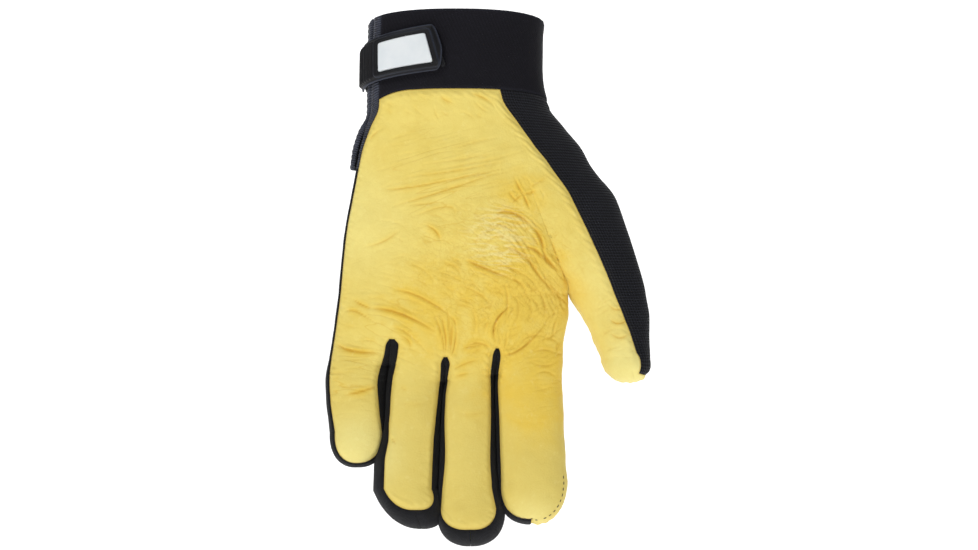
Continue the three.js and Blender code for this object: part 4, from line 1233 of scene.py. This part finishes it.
def rolled(count):
    """Shares from -1 to 1, closer together towards the ends."""
    t = np.linspace(-1, 1, count)
    return t + 0.1 * np.sin(np.pi * t)


def rolled_edge(side, reach):
    """Height of a rounded edge, from 0 at the side to 1 at its reach."""
    return 1 - corner_fall(1 - np.clip(side / reach, 0, 1))


def pull_tab():
    across = TAB["tall"] / 2 * rolled(64)[:, None] * np.ones((1, 170))
    left, right = tab_edges(across)
    along = mix(left, right, (rolled(170)[None] + 1) / 2)
    side = np.minimum(np.minimum(along - left, right - along), TAB["tall"] / 2 - np.abs(across))
    round_in = 0.55 * rolled_edge(side, 0.6)
    slope = 0.75 * smooth((side - 0.9) / 1.4)
    inner = box_edge(along, across, POCKET[0] - 2.1, POCKET[1] + 2.0, POCKET[2] / 2 + 1.9, 2.2)
    frame_rise = 0.7 * smooth((inner + 0.25) / 0.5)
    pocket = box_edge(along, across, POCKET[0] + 0.1, POCKET[1] - 0.1, POCKET[2] / 2 + 0.15, 1.2)
    sunk = 1.1 * smooth((pocket + 0.15) / 0.4)
    ribs = smooth((along - 1.2) / 0.8) * smooth((15.2 - along) / 0.8) * smooth((side - 1.2) / 0.8)
    ribs = ribs * (0.34 - 0.34 * np.cos(2 * np.pi * (along - 1.6) / 1.9))
    base = STRAP_TOP + TAB["lift"]
    top = base + 0.35 + round_in + slope + frame_rise - sunk + ribs
    edge = np.minimum(side, np.abs(inner) + 0.3)
    piece = slab("pull_tab_moulded", along, across, base + 0 * top, top, FINISH["rubber"], edge)
    return settle(piece, "rubber", "pull_tab")


def tab_plate():
    half = POCKET[2] / 2 - 0.1
    across = half * rolled(40)[:, None] * np.ones((1, 80))
    corner = corner_fall(np.clip(np.abs(across) - half + 1, 0, 1))
    along = mix(POCKET[0] + 0.35 + corner, POCKET[1] - 0.35 - corner, (rolled(80)[None] + 1) / 2)
    side = box_edge(along, across, POCKET[0] + 0.35, POCKET[1] - 0.35, half, 1.0)
    base = STRAP_TOP + TAB["lift"] + 1.35
    top = base + 0.35 + 0.35 * rolled_edge(side, 0.7)
    piece = slab("plate_blank", along, across, base + 0 * top, top, FINISH["plate"], side)
    return settle(piece, "plate", "tab_plate")


def closure_strap():
    half = STRAP["tall"] / 2
    across = half * rolled(30)[:, None] * np.ones((1, 150))
    corner = 3 * corner_fall(np.clip((np.abs(across) - half + 3) / 3, 0, 1))
    along = mix(STRAP["left"] + corner, STRAP["right"], np.linspace(0, 1, 150)[None])
    side = np.minimum(half - np.abs(across), along - STRAP["left"])
    top = STRAP_TOP - 0.35 * hump(side, 0.5)
    piece = slab("closure_strap_sewn", along, across, STRAP["lift"] + 0 * top, top, FINISH["strap"], side)
    settle(piece, "strap", "closure_strap")


closure_strap()
pull_tab()
tab_plate()


def tree_of(piece):
    mesh = piece.data
    corners = [v.co.copy() for v in mesh.vertices]
    return BVHTree.FromPolygons(corners, [list(f.vertices) for f in mesh.polygons])


def lay(tree, line, lift):
    """A line in millimetres laid on a piece, in metres."""
    laid = []
    for p in np.asarray(line) * 0.001:
        nearest, out, _, _ = tree.find_nearest(Vector(p))
        laid.append(nearest + out * lift * 0.001)
    return laid


def stitch_tree():
    """Stitches along a path: spaced points, one small round stitch at each, turned along it."""
    tree = bpy.data.node_groups.new("stitches_along", "GeometryNodeTree")
    tree.interface.new_socket("Path", in_out="INPUT", socket_type="NodeSocketGeometry")
    for name in ("Spacing", "Stitch length", "Stitch width"):
        tree.interface.new_socket(name, in_out="INPUT", socket_type="NodeSocketFloat")
    tree.interface.new_socket("Thread", in_out="INPUT", socket_type="NodeSocketMaterial")
    tree.interface.new_socket("Stitches", in_out="OUTPUT", socket_type="NodeSocketGeometry")
    made = {}

    def add(key, kind, **settings):
        made[key] = tree.nodes.new(kind)
        for name, value in settings.items():
            setattr(made[key], name, value)
        return made[key]

    def join(a, out, b, into):
        tree.links.new(made[a].outputs[out], made[b].inputs[into])

    add("in", "NodeGroupInput")
    add("out", "NodeGroupOutput")
    add("curve", "GeometryNodeMeshToCurve")
    add("spaced", "GeometryNodeResampleCurve", mode="LENGTH")
    ball = add("ball", "GeometryNodeMeshUVSphere")
    ball.inputs["Segments"].default_value, ball.inputs["Rings"].default_value = 6, 5
    ball.inputs["Radius"].default_value = 0.5
    add("size", "ShaderNodeCombineXYZ")
    add("shaped", "GeometryNodeTransform")
    add("way", "GeometryNodeInputTangent")
    add("turn", "FunctionNodeAlignRotationToVector", axis="Z")
    add("place", "GeometryNodeInstanceOnPoints")
    add("real", "GeometryNodeRealizeInstances")
    add("dressed", "GeometryNodeSetMaterial")
    for link in [
        ("in", "Path", "curve", "Mesh"), ("curve", "Curve", "spaced", "Curve"),
        ("in", "Spacing", "spaced", "Length"), ("in", "Stitch length", "size", "Z"),
        ("in", "Stitch width", "size", "X"), ("in", "Stitch width", "size", "Y"),
        ("ball", "Mesh", "shaped", "Geometry"), ("size", "Vector", "shaped", "Scale"),
        ("way", "Tangent", "turn", "Vector"), ("spaced", "Curve", "place", "Points"),
        ("shaped", "Geometry", "place", "Instance"), ("turn", "Rotation", "place", "Rotation"),
        ("place", "Instances", "real", "Geometry"), ("real", "Geometry", "dressed", "Geometry"),
        ("in", "Thread", "dressed", "Material"), ("dressed", "Geometry", "out", "Stitches"),
    ]:
        join(*link)
    return tree


STITCHES = stitch_tree()


def sew(name, lines, spacing, size, slot):
    """A run of stitches along each line, as one plain mesh."""
    verts, edges = [], []
    for line in lines:
        edges += [(len(verts) + k, len(verts) + k + 1) for k in range(len(line) - 1)]
        verts += [tuple(p) for p in line]
    path = bpy.data.meshes.new(name + "_path")
    path.from_pydata(verts, edges, [])
    carrier = in_scene(name + "_path", path)
    modifier = carrier.modifiers.new("stitches", "NODES")
    modifier.node_group = STITCHES
    given = {"Spacing": spacing, "Stitch length": size[0], "Stitch width": size[1]}
    for item in STITCHES.interface.items_tree:
        if item.item_type == "SOCKET" and item.in_out == "INPUT" and item.name in given:
            modifier[item.identifier] = given[item.name] * 0.001
        if item.item_type == "SOCKET" and item.name == "Thread":
            modifier[item.identifier] = THREAD
    shown = carrier.evaluated_get(bpy.context.evaluated_depsgraph_get())
    mesh = bpy.data.meshes.new_from_object(shown)
    mesh.name = name
    bpy.data.objects.remove(carrier)
    bpy.data.meshes.remove(path)
    settle(smooth_object(name, mesh), slot)


leather_tree = tree_of(cloth_pieces["palm_leather"])
levels = np.linspace(TIP_SEAM, SIDES["index"]["down"][-1], 6)
share, height, _, _ = stations_at("index", levels, True)
straight = place("index", levels, share[:, -BAND - 1], height[:, -BAND - 1], True)
index_tip = np.concatenate([straight, rim_lines["index"][::-1][:len(rim_lines["index"]) * 2 // 3]])
sew("index_tip_stitches", [lay(leather_tree, index_tip, 0.02)], 2.6, (1.5, 0.5), "side")


def vent_line(front):
    levels = np.linspace(0.015, VENT_END - 0.006, 80)
    share, height, side, flare = (part[:, BAND // 2] for part in stations_at("little", levels, front))
    return place("little", levels, share, height, side, 0.0, flare)


def strap_line(along, across):
    return on_strap(along, across, STRAP_TOP + 0.02) * 0.001


tapes = [lay(tree_of(cloth_pieces["vent_binding_" + word]), vent_line(word == "front"), 0.02)
         for word in ("front", "back")]
sew("vent_stitches", tapes, 2.4, (1.7, 0.4), "tape")
box = [(-45, -5.6), (-34, -5.6), (-34, 5.6), (-45, 5.6), (-45, -5.6), (-34, 5.6), (-34, -5.6), (-45, 5.6)]
steps = np.linspace(0, len(box) - 1, 12 * (len(box) - 1) + 1)
crossed = strap_line(*(np.interp(steps, np.arange(len(box)), part) for part in np.transpose(box)))
edges = [strap_line(np.linspace(-44, -3, 60), y) for y in (-7.1, 7.1)]
sew("strap_stitches", [crossed, *edges], 2.3, (1.7, 0.45), "strap")


def add_stage():
    """A pale floor that turns up into a backdrop, well below and behind the glove."""
    profile = [(-1.6, -0.34), (1.4, -0.34)]
    profile += [(1.4 + 0.4 * np.sin(a), 0.06 - 0.4 * np.cos(a)) for a in np.linspace(0.1, np.pi / 2, 14)]
    profile += [(1.8, 2.0)]
    verts = [(x, y, z) for y, z in profile for x in (-2.6, 2.6)]
    faces = [(2 * k, 2 * k + 1, 2 * k + 3, 2 * k + 2) for k in range(len(profile) - 1)]
    mesh = bpy.data.meshes.new("floor")
    mesh.from_pydata(verts, [], faces)
    mesh.materials.append(studio_white())
    smooth_object("floor", mesh)


def add_light(name, place_at, size, power):
    """A square soft light turned to the middle of the glove."""
    lamp = bpy.data.lights.new(name, "AREA")
    lamp.shape, lamp.size, lamp.energy = "SQUARE", size, power
    made = in_scene(name, lamp)
    made.location = place_at
    made.rotation_mode = "QUATERNION"
    made.rotation_quaternion = (Vector((0, 0, -0.12)) - Vector(place_at)).to_track_quat("-Z", "Y")


add_stage()
add_light("key_light", (-0.75, -1.0, 0.75), 0.5, 9.2)
add_light("fill_light", (0.9, -0.9, 0.1), 0.9, 1.5)
add_light("top_light", (0.1, 0.2, 1.1), 0.7, 2)
world = bpy.data.worlds.new("studio")
world.use_nodes = True
world.node_tree.nodes["Background"].inputs["Color"].default_value = (1, 1, 1, 1)
world.node_tree.nodes["Background"].inputs["Strength"].default_value = 0.25
bpy.context.scene.world = world
bpy.context.scene.view_settings.view_transform = "Standard"

lens = bpy.data.cameras.new("camera")
lens.sensor_width, lens.lens = 36, 60.8
camera = in_scene("camera", lens)
camera.location = [v / 1000 for v in (VIEW["across"], -VIEW["distance"], VIEW["height"])]
camera.rotation_euler = (np.pi / 2, 0, 0)
bpy.context.scene.camera = camera
